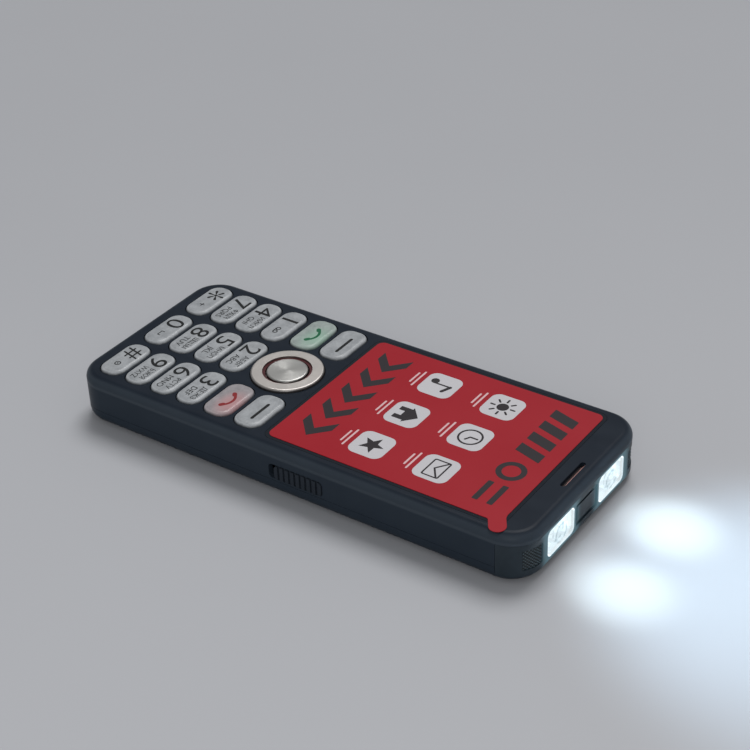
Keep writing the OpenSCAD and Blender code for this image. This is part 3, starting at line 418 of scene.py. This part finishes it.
def spun(name, colour, node, lean, rough):
    """Metal turned round a node's middle: normal plus the outward direction times a wave of the radius."""
    centre = middle(node)[:2]
    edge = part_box(node)[1].x - centre[0]

    def paint(place):
        offset = place.vector("SUBTRACT", place, (*centre, 0.0))
        flat = offset.vector("MULTIPLY", offset, (1.0, 1.0, 0.0))
        radius = flat.vector("LENGTH", flat, out=1)
        outward = flat.vector("NORMALIZE", flat)
        groove = (radius * FEED).wave()
        tilt = groove * lean * radius.fade(0.0001, 0.0008) * radius.fade(edge, 0.84 * edge)
        surface = place.make("ShaderNodeNewGeometry", out=1)
        leaning = outward.vector("SCALE", outward)
        tilt.tree.links.new(tilt.socket, leaning.socket.node.inputs["Scale"])
        normal = surface.vector("NORMALIZE", surface.vector("ADD", surface, leaning))
        cloud = place.noise(0.003, 3)
        return {
            "Base Color": (groove * 0.25 + 0.25 + cloud * 0.5).tint(shade(colour, 0.86), colour),
            "Metallic": 1.0,
            "Roughness": rough + cloud * 0.08,
            "Normal": normal,
        }

    return finish(name, paint)


def brushed(name, colour, rough, along=(12, 1, 1)):
    """Sheet metal with scratches along one axis, a little darker in the scratches."""

    def paint(place):
        scratch = place.noise(0.00012, 3, along)
        cloud = place.noise(0.004, 2)
        return {
            "Base Color": (scratch * 0.7 + cloud * 0.3).tint(shade(colour, 0.75), colour),
            "Metallic": 1.0,
            "Roughness": rough + scratch * 0.2,
            "Normal": scratch.bump(0.000006, 0.5),
        }

    return finish(name, paint)


finishes["ring_metal"] = spun("ring_turned", screen(176, 171, 167), "nav_ring", 0.07, 0.36)
finishes["ok_metal"] = spun("button_spun", screen(168, 167, 164), "ok_button", 0.145, 0.3)
finishes["domes"] = brushed("dome_steel", screen(196, 197, 198), 0.25)
finishes["steel"] = brushed("can_steel", screen(186, 187, 188), 0.3)
finishes["contact_gold"] = brushed("contact_gold", screen(222, 186, 104), 0.25, (1, 8, 1))
finishes["battery_case"] = brushed("battery_sleeve", screen(92, 94, 98), 0.4, (1, 10, 1))
print("metals turned round", np.round(middle("nav_ring") / MM, 2))

# %% [markdown]
# ## Film, window and the pieces inside
#
# The display is dark under a dark-edged window, and a red printed film covers it. The film is thin plastic that
# lies almost flat, so it has a slow ripple in its gloss and fine dust. The boards, the rubber and the cable are
# hidden while the phone is closed, and get short finishes of their own.

# %% Film, window and inside
# Radians of a wave per metre.
WEAVE, PIXEL_ROWS, CABLE_LINES = 12500.0, 21000.0, 9000.0
TRACKS_X, TRACKS_Y = 3300.0, 2900.0


def paint_film(place):
    ripple = place.noise(0.018, 2)
    dust = place.noise(0.00025, 1)
    return {
        "Base Color": (ripple * 0.7 + dust * 0.2).tint(screen(150, 22, 34), screen(161, 31, 42)),
        "Roughness": 0.28 + ripple * 0.1,
        "Specular IOR Level": 0.12,
        "Normal": ripple.bump(0.00006, 0.4),
    }


def paint_window(place):
    dust = place.noise(0.0003, 2)
    smear = place.noise(0.009, 3)
    return {
        "Base Color": smear.tint(screen(20, 25, 32), screen(29, 35, 43)),
        "Roughness": 0.08 + dust.fade(0.62, 0.75) * 0.25 + smear * 0.06,
        "Specular IOR Level": 0.2,
    }


def paint_trim(place):
    cloud = place.noise(0.002, 3)
    return {
        "Base Color": cloud.tint(screen(54, 15, 19), screen(86, 26, 30)),
        "Roughness": 0.28 + cloud * 0.1,
        "Specular IOR Level": 0.3,
    }


def paint_ear(place):
    x, y, _ = place.parts()
    weave = (x * WEAVE).wave() * (y * WEAVE).wave()
    return {
        "Base Color": weave.fade(-0.4, 0.5).tint(screen(10, 10, 11), screen(62, 50, 50)),
        "Metallic": 0.6,
        "Roughness": 0.45 + weave * 0.1,
        "Normal": weave.bump(0.00004, 0.6),
    }


def paint_rubber(place):
    bloom = place.noise(0.004, 3)
    return {
        "Base Color": bloom.tint(screen(58, 59, 62), screen(76, 77, 80)),
        "Roughness": 0.62 + bloom * 0.12,
        "Normal": place.noise(0.0003, 2).bump(0.00001, 0.4),
    }


def paint_board(place):
    x, y, _ = place.parts()
    wander = place.noise(0.005, 1) * 9.0
    tracks = ((x * TRACKS_X + wander).wave() * (y * TRACKS_Y).wave()).fade(0.1, 0.3)
    return {
        "Base Color": tracks.tint(screen(24, 82, 52), screen(58, 124, 84)),
        "Roughness": 0.36 + tracks * 0.12,
        "Normal": tracks.bump(0.00003, 0.5),
    }


def paint_panel(place):
    rows = (place.parts()[1] * PIXEL_ROWS).wave()
    return {
        "Base Color": rows.fade(-1.0, 1.0).tint(screen(26, 27, 31), screen(34, 35, 40)),
        "Roughness": 0.2 + rows * 0.04,
    }


def paint_flex(place):
    lines = (place.parts()[0] * CABLE_LINES).wave().fade(-0.2, 0.2)
    return {
        "Base Color": lines.tint(screen(176, 104, 38), screen(204, 138, 62)),
        "Roughness": 0.38 + lines * 0.06,
    }


finishes["film"] = finish("film_red", paint_film)
finishes["window_glass"] = finish("window_black", paint_window)
finishes["red_trim"] = finish("trim_dark_red", paint_trim)
finishes["ear_mesh"] = finish("earpiece_weave", paint_ear)
finishes["rubber_mat"] = finish("silicone_grey", paint_rubber)
finishes["board"] = finish("board_green", paint_board)
finishes["display"] = finish("panel_unlit", paint_panel)
finishes["flex"] = finish("cable_amber", paint_flex)

# %% [markdown]
# ## Lit torches
#
# Both torches are on. Behind a clear lens sits a plated bowl with the light chip in its middle. A bowl lit only
# by the chip would need many samples to look clean, so the bowl glows by itself in small flat facets, and the
# lens adds the glare, with the broken ring of the optic in its middle. A beam so close to the table is hard to
# aim, so the pools of light that it makes are given by spot lamps above the torch end, which point ahead and
# down: one for each pool and a wide one round both. A little light leaks round the lenses, so the bezel glows
# faintly beside them.

# %% Lens, bowl and chip
def paint_lens(place):
    x, _, z = place.parts()
    aside, rise = abs(x) - TORCH[0], z - TORCH[2]
    far = (aside * aside + rise * rise) ** 0.5
    haze = place.noise(0.0014, 3)
    ring = far.fade(0.0017, 0.0021) * far.fade(0.0028, 0.0024)
    lit = 1.0 - ring * haze.fade(0.35, 0.6) * 0.8 - far.fade(0.0034, 0.001) * 0.2
    return {
        "Base Color": screen(244, 250, 252),
        "Roughness": 0.04 + haze * 0.06,
        "Transmission Weight": 1.0,
        "IOR": 1.15,
        "Emission Color": lit.tint(screen(60, 92, 106), screen(244, 252, 254)),
        "Emission Strength": 0.35,
        "Normal": haze.bump(0.00003, 0.3),
    }


def paint_bowl(place):
    facet = place.make(
        "ShaderNodeTexVoronoi", {"feature": "F1"}, {"Vector": place, "Scale": 800.0, "Randomness": 0.6}, out=1
    )
    spread = facet.parts()[0]
    glow = spread.tint(screen(96, 136, 154), screen(220, 238, 246))
    return {
        "Base Color": spread.tint(screen(110, 124, 130), screen(150, 162, 168)),
        "Metallic": 1.0,
        "Roughness": 0.12 + spread * 0.1,
        "Emission Color": glow,
        "Emission Strength": 0.3,
    }


def paint_chip(place):
    grain = place.noise(0.0003, 2)
    return {
        "Base Color": screen(250, 246, 226),
        "Roughness": 0.4,
        "Emission Color": grain.tint(screen(250, 252, 255), screen(255, 255, 255)),
        "Emission Strength": 2.0,
    }


def paint_bezel(place):
    x, y, z = place.parts()
    aside = (abs(abs(x) - TORCH[0]) - LENS[0] / 2).atleast(0.0)
    rise = (abs(z - TORCH[2]) - LENS[2] / 2).atleast(0.0)
    far = (aside * aside + rise * rise) ** 0.5
    near = far.fade(0.0036, 0.0) * y.fade(HALF_L - 0.0012, HALF_L - 0.0002)
    grain = place.noise(0.00018, 2)
    return {
        "Base Color": (place.noise(0.004, 3) * 0.6 + near * 0.3).tint(screen(28, 36, 43), screen(58, 72, 82)),
        "Roughness": 0.32 + grain * 0.1,
        "Specular IOR Level": 0.25,
        "Emission Color": near.tint(screen(0, 0, 0), screen(68, 95, 103)),
        "Emission Strength": 1.0,
        "Normal": grain.bump(0.000012, 0.5),
    }


TORCH = middle("torch_lens_right")
LENS = np.subtract(*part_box("torch_lens_right")[::-1])
finishes["bezel"] = finish("bezel_lit", paint_bezel)
finishes["torch_lens"] = finish("lens_clear", paint_lens)
finishes["reflector"] = finish("bowl_plated", paint_bowl)
finishes["light_chip"] = finish("chip_lit", paint_chip)
BEAM = {"color": (0.8, 0.97, 1.0), "spot_size": 0.4, "spot_blend": 1.0, "shadow_soft_size": 4 * MM}
HALO = {"color": (0.6, 0.82, 1.0), "spot_size": 0.9, "spot_blend": 1.0, "shadow_soft_size": 8 * MM}
lamp("torch_pool_left", "SPOT", (-0.011, 0.055, 0.06), (-0.010, 0.0805, 0), 0.21, **BEAM)
lamp("torch_pool_right", "SPOT", (0.011, 0.055, 0.06), (0.0155, 0.0815, 0), 0.19, **BEAM)
lamp("torch_halo", "SPOT", (0.002, 0.056, 0.1), (0.001, 0.116, 0), 0.6, **HALO)
print("torches lit at y", HALF_L / MM, "mm")

# %% [markdown]
# ## Finishes on the solids
#
# The record names a material slot for every solid. Its meshes carry exact normals from the CAD surfaces, so they
# need no smoothing, and each solid takes the finish of its slot.

# %% Give every solid its finish
for part in frame["record"]["subparts"]:
    solid = frame["nodes"][part["node"]]
    solid.data.materials.clear()
    solid.data.materials.append(finishes[part["material_slot"]])

# %% [markdown]
# ## Printed shapes
#
# Ink is a film a few hundredths of a millimetre thick. It could be drawn in a shader, but a mesh keeps its crisp
# edge in every program. A printed shape is an outline carried between two heights: quads round the edge and one
# face on each side. A ring joins two outlines instead. A stroke is an outline on both sides of a line.

# %% Outlines and printing
INK = 0.02 * MM


def plate(outline, low):
    """The outline at two heights with quads between them and a face on each side."""
    flat = np.asarray(outline, float)
    count = len(flat)
    points = np.vstack([np.column_stack([flat, np.full(count, low + h)]) for h in (0.0, INK)])
    walls = grid_faces(2, count, wrap=True).tolist()
    return points, [*walls, list(range(count))[::-1], list(range(count, 2 * count))]


def hoop(outer, inner, low):
    """A ring: the four corners of its section are carried round the two outlines."""
    rows = [(outer, 0.0), (outer, INK), (inner, INK), (inner, 0.0), (outer, 0.0)]
    points = np.vstack([np.column_stack([o, np.full(len(o), low + h)]) for o, h in rows])
    return points, grid_faces(5, len(outer), wrap=True).tolist()


def disc(x, y, radius, count=48):
    """Points of a circle: cosine and sine of even angles times the radius."""
    angle = np.linspace(0, 2 * np.pi, count, endpoint=False)
    return np.column_stack([x + radius * np.cos(angle), y + radius * np.sin(angle)])


def tile(x, y, width, length, radius, steps=7):
    """Rectangle with round corners: four quarter circles, one after the other."""
    angle = np.linspace(0, np.pi / 2, steps)[None, :] + np.arange(4)[:, None] * np.pi / 2
    sx = np.array([1, -1, -1, 1])[:, None] * (width / 2 - radius)
    sy = np.array([1, 1, -1, -1])[:, None] * (length / 2 - radius)
    return np.column_stack([(x + sx + radius * np.cos(angle)).ravel(), (y + sy + radius * np.sin(angle)).ravel()])


def stroke(path, width, steps=7):
    """Line of a width with round ends: the path moved to both sides, joined by half circles."""
    path = np.asarray(path, float)
    along = np.gradient(path, axis=0)
    along /= np.linalg.norm(along, axis=1)[:, None]
    normal = np.column_stack([-along[:, 1], along[:, 0]]) * width / 2
    half = np.linspace(0, np.pi, steps + 2)[1:-1, None]
    end = path[-1] - normal[-1] * np.cos(half) + along[-1] * np.sin(half) * width / 2
    start = path[0] + normal[0] * np.cos(half) - along[0] * np.sin(half) * width / 2
    return np.vstack([path - normal, end, (path + normal)[::-1], start])


def piece(name, parts, material, body):
    """One object from several (points, faces), which rides on a body."""
    points, faces, count = [], [], 0
    for some, quads in parts:
        faces += [[i + count for i in f] for f in quads]
        points.append(some)
        count += len(some)
    made = mesh_of(name, np.vstack(points), faces, material)
    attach(made, body)
    return made


def ink(name, dark, light):
    """Printed ink between two tones with the tooth of a screen print."""

    def paint(place):
        tooth = place.noise(0.0002, 2)
        return {
            "Base Color": tooth.tint(dark, light),
            "Roughness": 0.42 + tooth * 0.12,
            "Specular IOR Level": 0.15,
            "Normal": tooth.bump(0.000004, 0.4),
        }

    return finish(name, paint)


black_ink = ink("ink_black", screen(12, 14, 15), screen(22, 24, 25))
print("ink is", INK / MM, "mm thick")

# %% [markdown]
# ## Legends on the keys
#
# Each key carries a large digit on its left and two small rows of letters on its right. Letters come from
# Blender's own typeface: the text is made a mesh, measured, scaled to the wanted height and moved to its place as
# numbers. Some letters of that typeface fill badly, because their outlines overlap, so three rows are drawn with
# strokes instead: straight lines, half rings and ovals in a square of one letter height. One more letter borrows
# its Latin twin.

# %% Key legends
def typed(text):
    """Points and faces of a line of text, one unit thick, in the typeface's own units."""
    curve = bpy.data.curves.new("lettering", "FONT")
    curve.body = text
    curve.extrude = 0.5
    curve.resolution_u = 4
    holder = bpy.data.objects.new("lettering", curve)
    bpy.context.scene.collection.objects.link(holder)
    bpy.context.view_layer.update()
    shape = bpy.data.meshes.new_from_object(holder.evaluated_get(bpy.context.evaluated_depsgraph_get()))
    co = np.empty(len(shape.vertices) * 3)
    shape.vertices.foreach_get("co", co)
    co = co.reshape(-1, 3)
    faces = [list(p.vertices) for p in shape.polygons]
    bpy.data.objects.remove(holder)
    bpy.data.curves.remove(curve)
    bpy.data.meshes.remove(shape)
    return co, faces


def lettering(text, height, x, y, low, widest, stretch=1.0, gauge=None):
    """Text centred on a point: a gauge letter or the text itself gets the height, and wide text is narrowed."""
    co, faces = typed(text)
    rise = typed(gauge)[0][:, 1] if gauge else co[:, 1]
    scale = height / np.ptp(rise)
    wide = min(scale * stretch, widest / np.ptp(co[:, 0]))
    centre = [(co[:, 0].min() + co[:, 0].max()) / 2, (rise.min() + rise.max()) / 2]
    flat = (co[:, :2] - centre) * [wide, scale] + [x, y]
    return np.column_stack([flat, low + (co[:, 2] + 0.5) * INK]), faces

# %% Letters drawn with strokes
PEN = 0.13


def line(*ends):
    """Straight stroke through pairs of numbers."""
    return np.reshape(ends, (-1, 2))


def bowl(x, high, low, reach):
    """Half ring beside x between two heights: two runs joined by a half circle, left if reach is negative."""
    angle = np.linspace(np.pi / 2, -np.pi / 2, 11)
    radius = (high - low) / 2
    away = np.sign(reach) * (abs(reach) - radius + radius * np.cos(angle))
    turn = np.column_stack([x + away, (high + low) / 2 + radius * np.sin(angle)])
    return np.vstack([[x, high], turn, [x, low]])


# Each letter: its width, its strokes and its ovals, as centre and half axes, in letter heights.
COMB = [line(0, 1, 0, 0), line(0.4, 1, 0.4, 0), line(0.8, 1, 0.8, 0), line(0, 0, 0.8, 0)]
GLYPHS = {
    "Ф": (0.84, [line(0.42, 1, 0.42, 0)], [(0.42, 0.55, 0.36, 0.27)]),
    "Х": (0.6, [line(0, 1, 0.6, 0), line(0, 0, 0.6, 1)], []),
    "Ц": (
        0.68,
        [line(0, 1, 0, 0), line(0.55, 1, 0.55, 0), line(0, 0, 0.68, 0), line(0.68, 0, 0.68, -0.18)],
        [],
    ),
    "Ч": (
        0.5,
        [line(0, 1, 0, 0.6), line(0, 0.6, 0.1, 0.48), line(0.1, 0.48, 0.5, 0.48), line(0.5, 1, 0.5, 0)],
        [],
    ),
    "Ш": (0.8, COMB, []),
    "Щ": (0.93, [*COMB, line(0.8, 0, 0.93, 0), line(0.93, 0, 0.93, -0.18)], []),
    "Ъ": (0.62, [line(0, 1, 0.2, 1), line(0.2, 1, 0.2, 0), bowl(0.2, 0.54, 0, 0.42)], []),
    "Ы": (0.7, [line(0, 1, 0, 0), bowl(0, 0.54, 0, 0.44), line(0.7, 1, 0.7, 0)], []),
    "Ь": (0.45, [line(0, 1, 0, 0), bowl(0, 0.54, 0, 0.45)], []),
    "Э": (0.6, [bowl(0.02, 1, 0, 0.58), line(0.2, 0.5, 0.58, 0.5)], []),
    "Ю": (0.98, [line(0, 1, 0, 0), line(0, 0.5, 0.25, 0.5)], [(0.61, 0.5, 0.36, 0.48)]),
    "Я": (0.5, [line(0.5, 1, 0.5, 0), bowl(0.5, 1, 0.46, -0.5), line(0.26, 0.46, 0, 0)], []),
}


def drawn(text, height, x, y, low, gap=0.24):
    """A line of letters made of strokes, centred on a point."""
    widths = np.array([GLYPHS[letter][0] for letter in text])
    starts = np.cumsum(widths + gap) - widths - gap - (widths.sum() + gap * (len(text) - 1)) / 2
    parts = []
    for letter, start in zip(text, starts):
        _, paths, ovals = GLYPHS[letter]
        corner = np.array([x + start * height, y - height / 2])
        parts += [
            plate(stroke(corner + p * height, PEN * height), low + n * INK / 40) for n, p in enumerate(paths)
        ]
        for cx, cy, wide, high in ovals:
            sizes = (np.array([wide, high]) + s * PEN / 2 for s in (1, -1))
            parts.append(hoop(*(corner + (disc(0, 0, 1) * z + [cx, cy]) * height for z in sizes), low))
    return parts


print("drew", len(GLYPHS), "letters")

# %% Legends on the number keys
LETTERS = {
    "key_2": ("ABC", "АБВГ"),
    "key_3": ("DEF", "ДЕЖЗ"),
    "key_4": ("GHI", "ИЙКЛ"),
    "key_5": ("JKL", "МНОП"),
    "key_6": ("MNO", "PСТУ"),
    "key_7": ("PQRS", "ФХЦЧ"),
    "key_8": ("TUV", "ШЩЪЫ"),
    "key_9": ("WXYZ", "ЬЭЮЯ"),
}
DIGITS = {f"key_{n}": str(n) for n in range(10)} | {"key_star": "*", "key_hash": "#"}
DIGIT_TALL, DIGIT_WIDEST, DIGIT_STRETCH = 4.9 * MM, 4.3 * MM, 1.2
FIRST_TALL, SECOND_TALL, ROW_WIDEST = 1.6 * MM, 1.4 * MM, 5.6 * MM
SIGN_X, SIGN_PEN = 2.9, 0.26 * MM


def legend(node):
    """What is printed on one key: its digit, and its letters or a small mark."""
    x, y, _ = middle(node)
    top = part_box(node)[1].z - INK / 4
    parts = [
        lettering(DIGITS[node], DIGIT_TALL, x - 2.5 * MM, y + 0.2 * MM, top, DIGIT_WIDEST, DIGIT_STRETCH)
    ]
    if node in LETTERS:
        first, second = LETTERS[node]
        parts.append(lettering(first, FIRST_TALL, x + 3.0 * MM, y - 0.9 * MM, top, ROW_WIDEST, gauge="H"))
        second_row = (second, SECOND_TALL, x + 2.8 * MM, y + 1.5 * MM, top)
        if set(second) <= set(GLYPHS):
            parts += drawn(*second_row)
        else:
            parts.append(lettering(*second_row, ROW_WIDEST, gauge="H"))
    elif node == "key_1":
        for s in (-1, 1):
            eye = (x + (SIGN_X + 0.75 * s) * MM, y)
            parts.append(hoop(disc(*eye, 0.7 * MM), disc(*eye, 0.42 * MM), top))
        bar = [(x + 2.1 * MM, y - 0.6 * MM), (x + 3.7 * MM, y - 0.6 * MM)]
        parts.append(plate(stroke(bar, SIGN_PEN), top))
    elif node == "key_0":
        cup = np.array([(2.0, 0.4), (2.0, -0.4), (3.8, -0.4), (3.8, 0.4)]) * MM + [x, y]
        parts += [plate(stroke(cup[i : i + 2], SIGN_PEN), top) for i in range(3)]
    elif node == "key_star":
        parts.append(lettering("+", 1.5 * MM, x + SIGN_X * MM, y, top, 2 * MM))
    else:
        eye = (x + SIGN_X * MM, y)
        parts.append(hoop(disc(*eye, 0.85 * MM), disc(*eye, 0.58 * MM), top))
        parts.append(plate(disc(*eye, 0.25 * MM), top))
    return piece(node + "_legend", parts, black_ink, node)


legends = [legend(node) for node in DIGITS]
print("printed", len(legends), "number keys")

# %% [markdown]
# ## Marks on the four keys beside the ring
#
# The two soft keys carry a plain dash. The call and end keys carry a handset: a shallow arc with a pad on each
# end, green on one and red on the other.

# %% Dashes and handsets
def handset(x, y, low):
    """A handset: an arc of a circle for the grip, and a short thick stroke at each end for the pads."""
    angle = np.radians(np.linspace(32, 148, 25))
    arc = np.column_stack([np.cos(angle), np.sin(angle)]) * 3.2 * MM + [x, y - 2.3 * MM]
    ends = ((arc[0], arc[8]), (arc[-1], arc[-9]))
    pads = [stroke([tip, 0.7 * tip + 0.3 * inner], 1.15 * MM) for tip, inner in ends]
    return [plate(stroke(arc, 0.7 * MM), low), *(plate(p, low + INK / 8) for p in pads)]


MARK = np.array([0.6, 0.7, 0.0]) * MM
green_ink = ink("ink_green", screen(20, 88, 58), screen(30, 104, 70))
red_ink = ink("ink_red", screen(122, 30, 34), screen(140, 42, 44))
for node in ("soft_key_left", "soft_key_right"):
    x, y, _ = middle(node) + MARK
    dash = stroke([(x - 3.2 * MM, y), (x + 3.2 * MM, y)], 0.8 * MM)
    piece(node + "_dash", [plate(dash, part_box(node)[1].z - INK / 4)], black_ink, node)
for node, colour in (("call_key", green_ink), ("end_key", red_ink)):
    x, y, _ = middle(node) + MARK
    piece(node + "_handset", handset(x, y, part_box(node)[1].z - INK / 4), colour, node)
print("marked the soft keys, the call key and the end key")

# %% [markdown]
# ## Print on the film
#
# A shop's protective film carries bold dark marks and light tiles with small pictures. This one has a design of
# its own in the same colours and scale: chevrons at one end, slanted bars at the other, and six tiles between
# them with a sun, a clock, an envelope, a note, a house and a star.

# %% Film print
_, film_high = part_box("screen_film")
window_low, window_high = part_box("display_window")
FILM_Y = (window_low.y + window_high.y) / 2
FILM_TOP = film_high.z - INK / 4


def at(points, x=0.0, y=0.0):
    """Millimetres round a point of the film as metres in the model."""
    return np.asarray(points, float) * MM + [x * MM, FILM_Y + y * MM]


chevron = np.array([(-4.2, -4.2), (-0.9, -4.2), (3.6, 0), (-0.9, 4.2), (-4.2, 4.2), (0.3, 0)])
marks = [plate(at(chevron, x, -23.6), FILM_TOP) for x in (-15.6, -7.8, 0.0, 7.8, 15.6)]
slanted = np.array([(-2.6, -3.6), (0.6, -3.6), (2.6, 3.6), (-0.6, 3.6)])
marks += [plate(at(slanted, x, 24.2), FILM_TOP) for x in (-17.5, -12.3, -7.1, -1.9)]
marks.append(hoop(at(disc(0, 0, 3.6), 6.4, 24.2), at(disc(0, 0, 2.2), 6.4, 24.2), FILM_TOP))
marks += [plate(at(tile(0, 0, 7.6, 1.5, 0.3), 15.6, y), FILM_TOP) for y in (26.2, 22.4)]
film_ink = ink("film_ink_dark", screen(34, 30, 34), screen(46, 40, 44))
piece("film_dark_marks", marks, film_ink, "phone")

TILE = 9.2
places = [(x, y) for y in (9.4, -8.2) for x in (-14.4, 0.0, 14.4)]
tiles = [plate(at(tile(0, 0, TILE, TILE, 2.2), x, y), FILM_TOP) for x, y in places]
captions = [
    plate(at(stroke([(-w / 2, 0), (w / 2, 0)], 0.5), x, y - d), FILM_TOP)
    for x, y in places
    for w, d in ((6.4, 6.1), (4.2, 7.3))
]
tile_ink = ink("film_ink_light", screen(186, 184, 188), screen(200, 198, 201))
pale_ink = ink("film_ink_pale", screen(206, 170, 172), screen(218, 184, 186))
piece("film_light_tiles", tiles, tile_ink, "phone")
piece("film_caption_lines", captions, pale_ink, "phone")
print("film print:", len(marks), "marks and", len(tiles), "tiles")

# %% Pictures on the tiles
def spokes(count, near, far, width):
    """Short strokes on the rays of a star."""
    angle = np.linspace(0, 2 * np.pi, count, endpoint=False)
    ray = np.column_stack([np.cos(angle), np.sin(angle)])
    return [stroke([near * r, far * r], width) for r in ray]


sun = [disc(0, 0, 1.5), *spokes(8, 2.2, 3.2, 0.5)]
clock = [stroke([(0, 0), (0, 1.9)], 0.5), stroke([(0, 0), (1.3, -0.7)], 0.5)]
flap = np.array([(-3.0, 1.7), (0, -0.5), (3.0, 1.7)])
envelope = [stroke(flap[:2], 0.45), stroke(flap[1:], 0.45)]
stem, flag = [(-0.5, -2.0), (-0.5, 2.6)], [(-0.5, 2.6), (1.9, 1.6)]
note = [disc(-1.3, -2.1, 1.05), stroke(stem, 0.5), stroke(flag, 0.9)]
roof = np.array([(-3.2, 0.2), (3.2, 0.2), (0, 3.1)])
house = [roof, *(tile(x, -1.3, 1.5, 3.2, 0.2) for x in (-1.7, 1.7)), tile(0, -0.4, 4.4, 1.5, 0.2)]
star_turn = np.linspace(0, 2 * np.pi, 10, endpoint=False) + np.pi / 2
star_reach = np.where(np.arange(10) % 2, 1.35, 3.2)[:, None]
star = [np.column_stack([np.cos(star_turn), np.sin(star_turn)]) * star_reach]
shapes = [sun, clock, envelope, note, house, star]
rings = {
    1: (disc(0, 0, 3.1), disc(0, 0, 2.6)),
    2: (tile(0, 0, 6.6, 4.6, 0.5), tile(0, 0, 5.8, 3.8, 0.3)),
}
pictures = []
for number, ((x, y), outlines) in enumerate(zip(places, shapes)):
    for layer, outline in enumerate(outlines):
        pictures.append(plate(at(outline, x, y), FILM_TOP + INK * (0.75 + 0.05 * layer)))
    if number in rings:
        pictures.append(hoop(*(at(o, x, y) for o in rings[number]), FILM_TOP + INK * 0.7))
piece("film_pictures", pictures, film_ink, "phone")
print("drew", len(pictures), "shapes on the tiles")

# %% [markdown]
# ## Knurled grips on the torch end
#
# Each rounded corner of the bezel has a pocket with a diamond knurl. It is a real relief of a third of a
# millimetre, so it is made as one: a strip of a cylinder whose radius grows by the lower of two saw-tooth waves
# that cross at 45 degrees. A plain strip behind it closes the pad. The tops of the knurl carry a painted highlight
# and its valleys painted shade.

# %% Knurled grips
POCKET, RELIEF, PITCH = 0.4 * MM, 0.3 * MM, 0.88 * MM
GRIP_HALF, STEPS = 2.62 * MM, 57


def saw(value):
    """Saw-tooth of even slopes: 0 at whole numbers and 1 halfway between them."""
    return 1 - np.abs(2 * (value - np.floor(value)) - 1)


def grip(name, turn_from, turn_to, centre_x):
    """Pad on a corner: radius = floor of the pocket + relief * lower of two crossing saw-teeth."""
    low, high = (TORCH[2] + s * GRIP_HALF for s in (-1, 1))
    floor_r = CORNER - (HALF_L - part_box("torch_bezel")[1].y) - POCKET
    angle = np.radians(np.linspace(turn_from, turn_to, STEPS))[:, None]
    height = np.linspace(low, high, STEPS)[None, :]
    arc = angle * floor_r
    relief = np.minimum(saw((arc + height) / PITCH), saw((arc - height) / PITCH)) ** 0.8
    shells = []
    for radius in (floor_r + 0.02 * MM + RELIEF * relief, np.full(relief.shape, floor_r - 0.01 * MM)):
        shells.append(np.stack([
            centre_x + radius * np.cos(angle),
            HALF_L - CORNER + radius * np.sin(angle),
            np.broadcast_to(height, relief.shape),
        ], -1))
    count = STEPS * STEPS
    front = grid_faces(STEPS, STEPS)
    order = np.arange(count).reshape(STEPS, STEPS)
    rim = np.concatenate([order[:, 0], order[-1, 1:], order[-2::-1, -1], order[0, -2:0:-1]])
    after = np.roll(rim, -1)
    walls = np.column_stack([rim, after, after + count, rim + count])
    faces = np.vstack([front, front[:, ::-1] + count, walls]).tolist()
    piece(name, [(np.vstack([s.reshape(-1, 3) for s in shells]), faces)], knurl, "phone")


def paint_knurl(place):
    # Painted highlight on the tops of the knurl and painted shade in its valleys.
    lit_tops = inside_wall(place).fade(0.00042, 0.00014)
    return {
        "Base Color": lit_tops.tint(screen(16, 21, 26), screen(78, 94, 102)),
        "Roughness": 0.36 + place.noise(0.0002, 2) * 0.12,
        "Specular IOR Level": 0.3,
    }


knurl = finish("knurl_shaded", paint_knurl)
grip("grip_right", 48.6, 89.4, HALF_W - CORNER)
grip("grip_left", 90.6, 131.4, CORNER - HALF_W)
print("knurled both corners")

# %% [markdown]
# ## Earpiece slot
#
# Along the far edge of the earpiece slot runs a thin bright line. It is a round wire laid in the slot: a circle
# carried along a straight path.

# %% Earpiece wire
STATIONS, SIDES = 9, 12
WIRE_HALF, WIRE_R = 4.7, 0.09
ear_y = middle("earpiece_mesh")[1]
turns = np.linspace(0, 2 * np.pi, SIDES, endpoint=False)
wire_x = np.linspace(-WIRE_HALF, WIRE_HALF, STATIONS) * MM
swell = np.concatenate([[0.02], np.ones(STATIONS - 2), [0.02]])[:, None] * WIRE_R * MM
wire = np.stack([
    np.broadcast_to(wire_x[:, None], (STATIONS, SIDES)),
    ear_y + 0.53 * MM + swell * np.cos(turns),
    FACE - 0.16 * MM + swell * np.sin(turns),
], -1)
last = (STATIONS - 1) * SIDES
caps = [list(range(SIDES)), list(range(last, last + SIDES))]
wire_faces = [*grid_faces(STATIONS, SIDES, wrap=True).tolist(), *caps]
wire_metal = brushed("earpiece_wire", screen(176, 132, 126), 0.4)
piece("earpiece_wire", [(wire.reshape(-1, 3), wire_faces)], wire_metal, "phone")
print("earpiece wire is", round((wire_x[-1] - wire_x[0]) / MM, 1), "mm long")
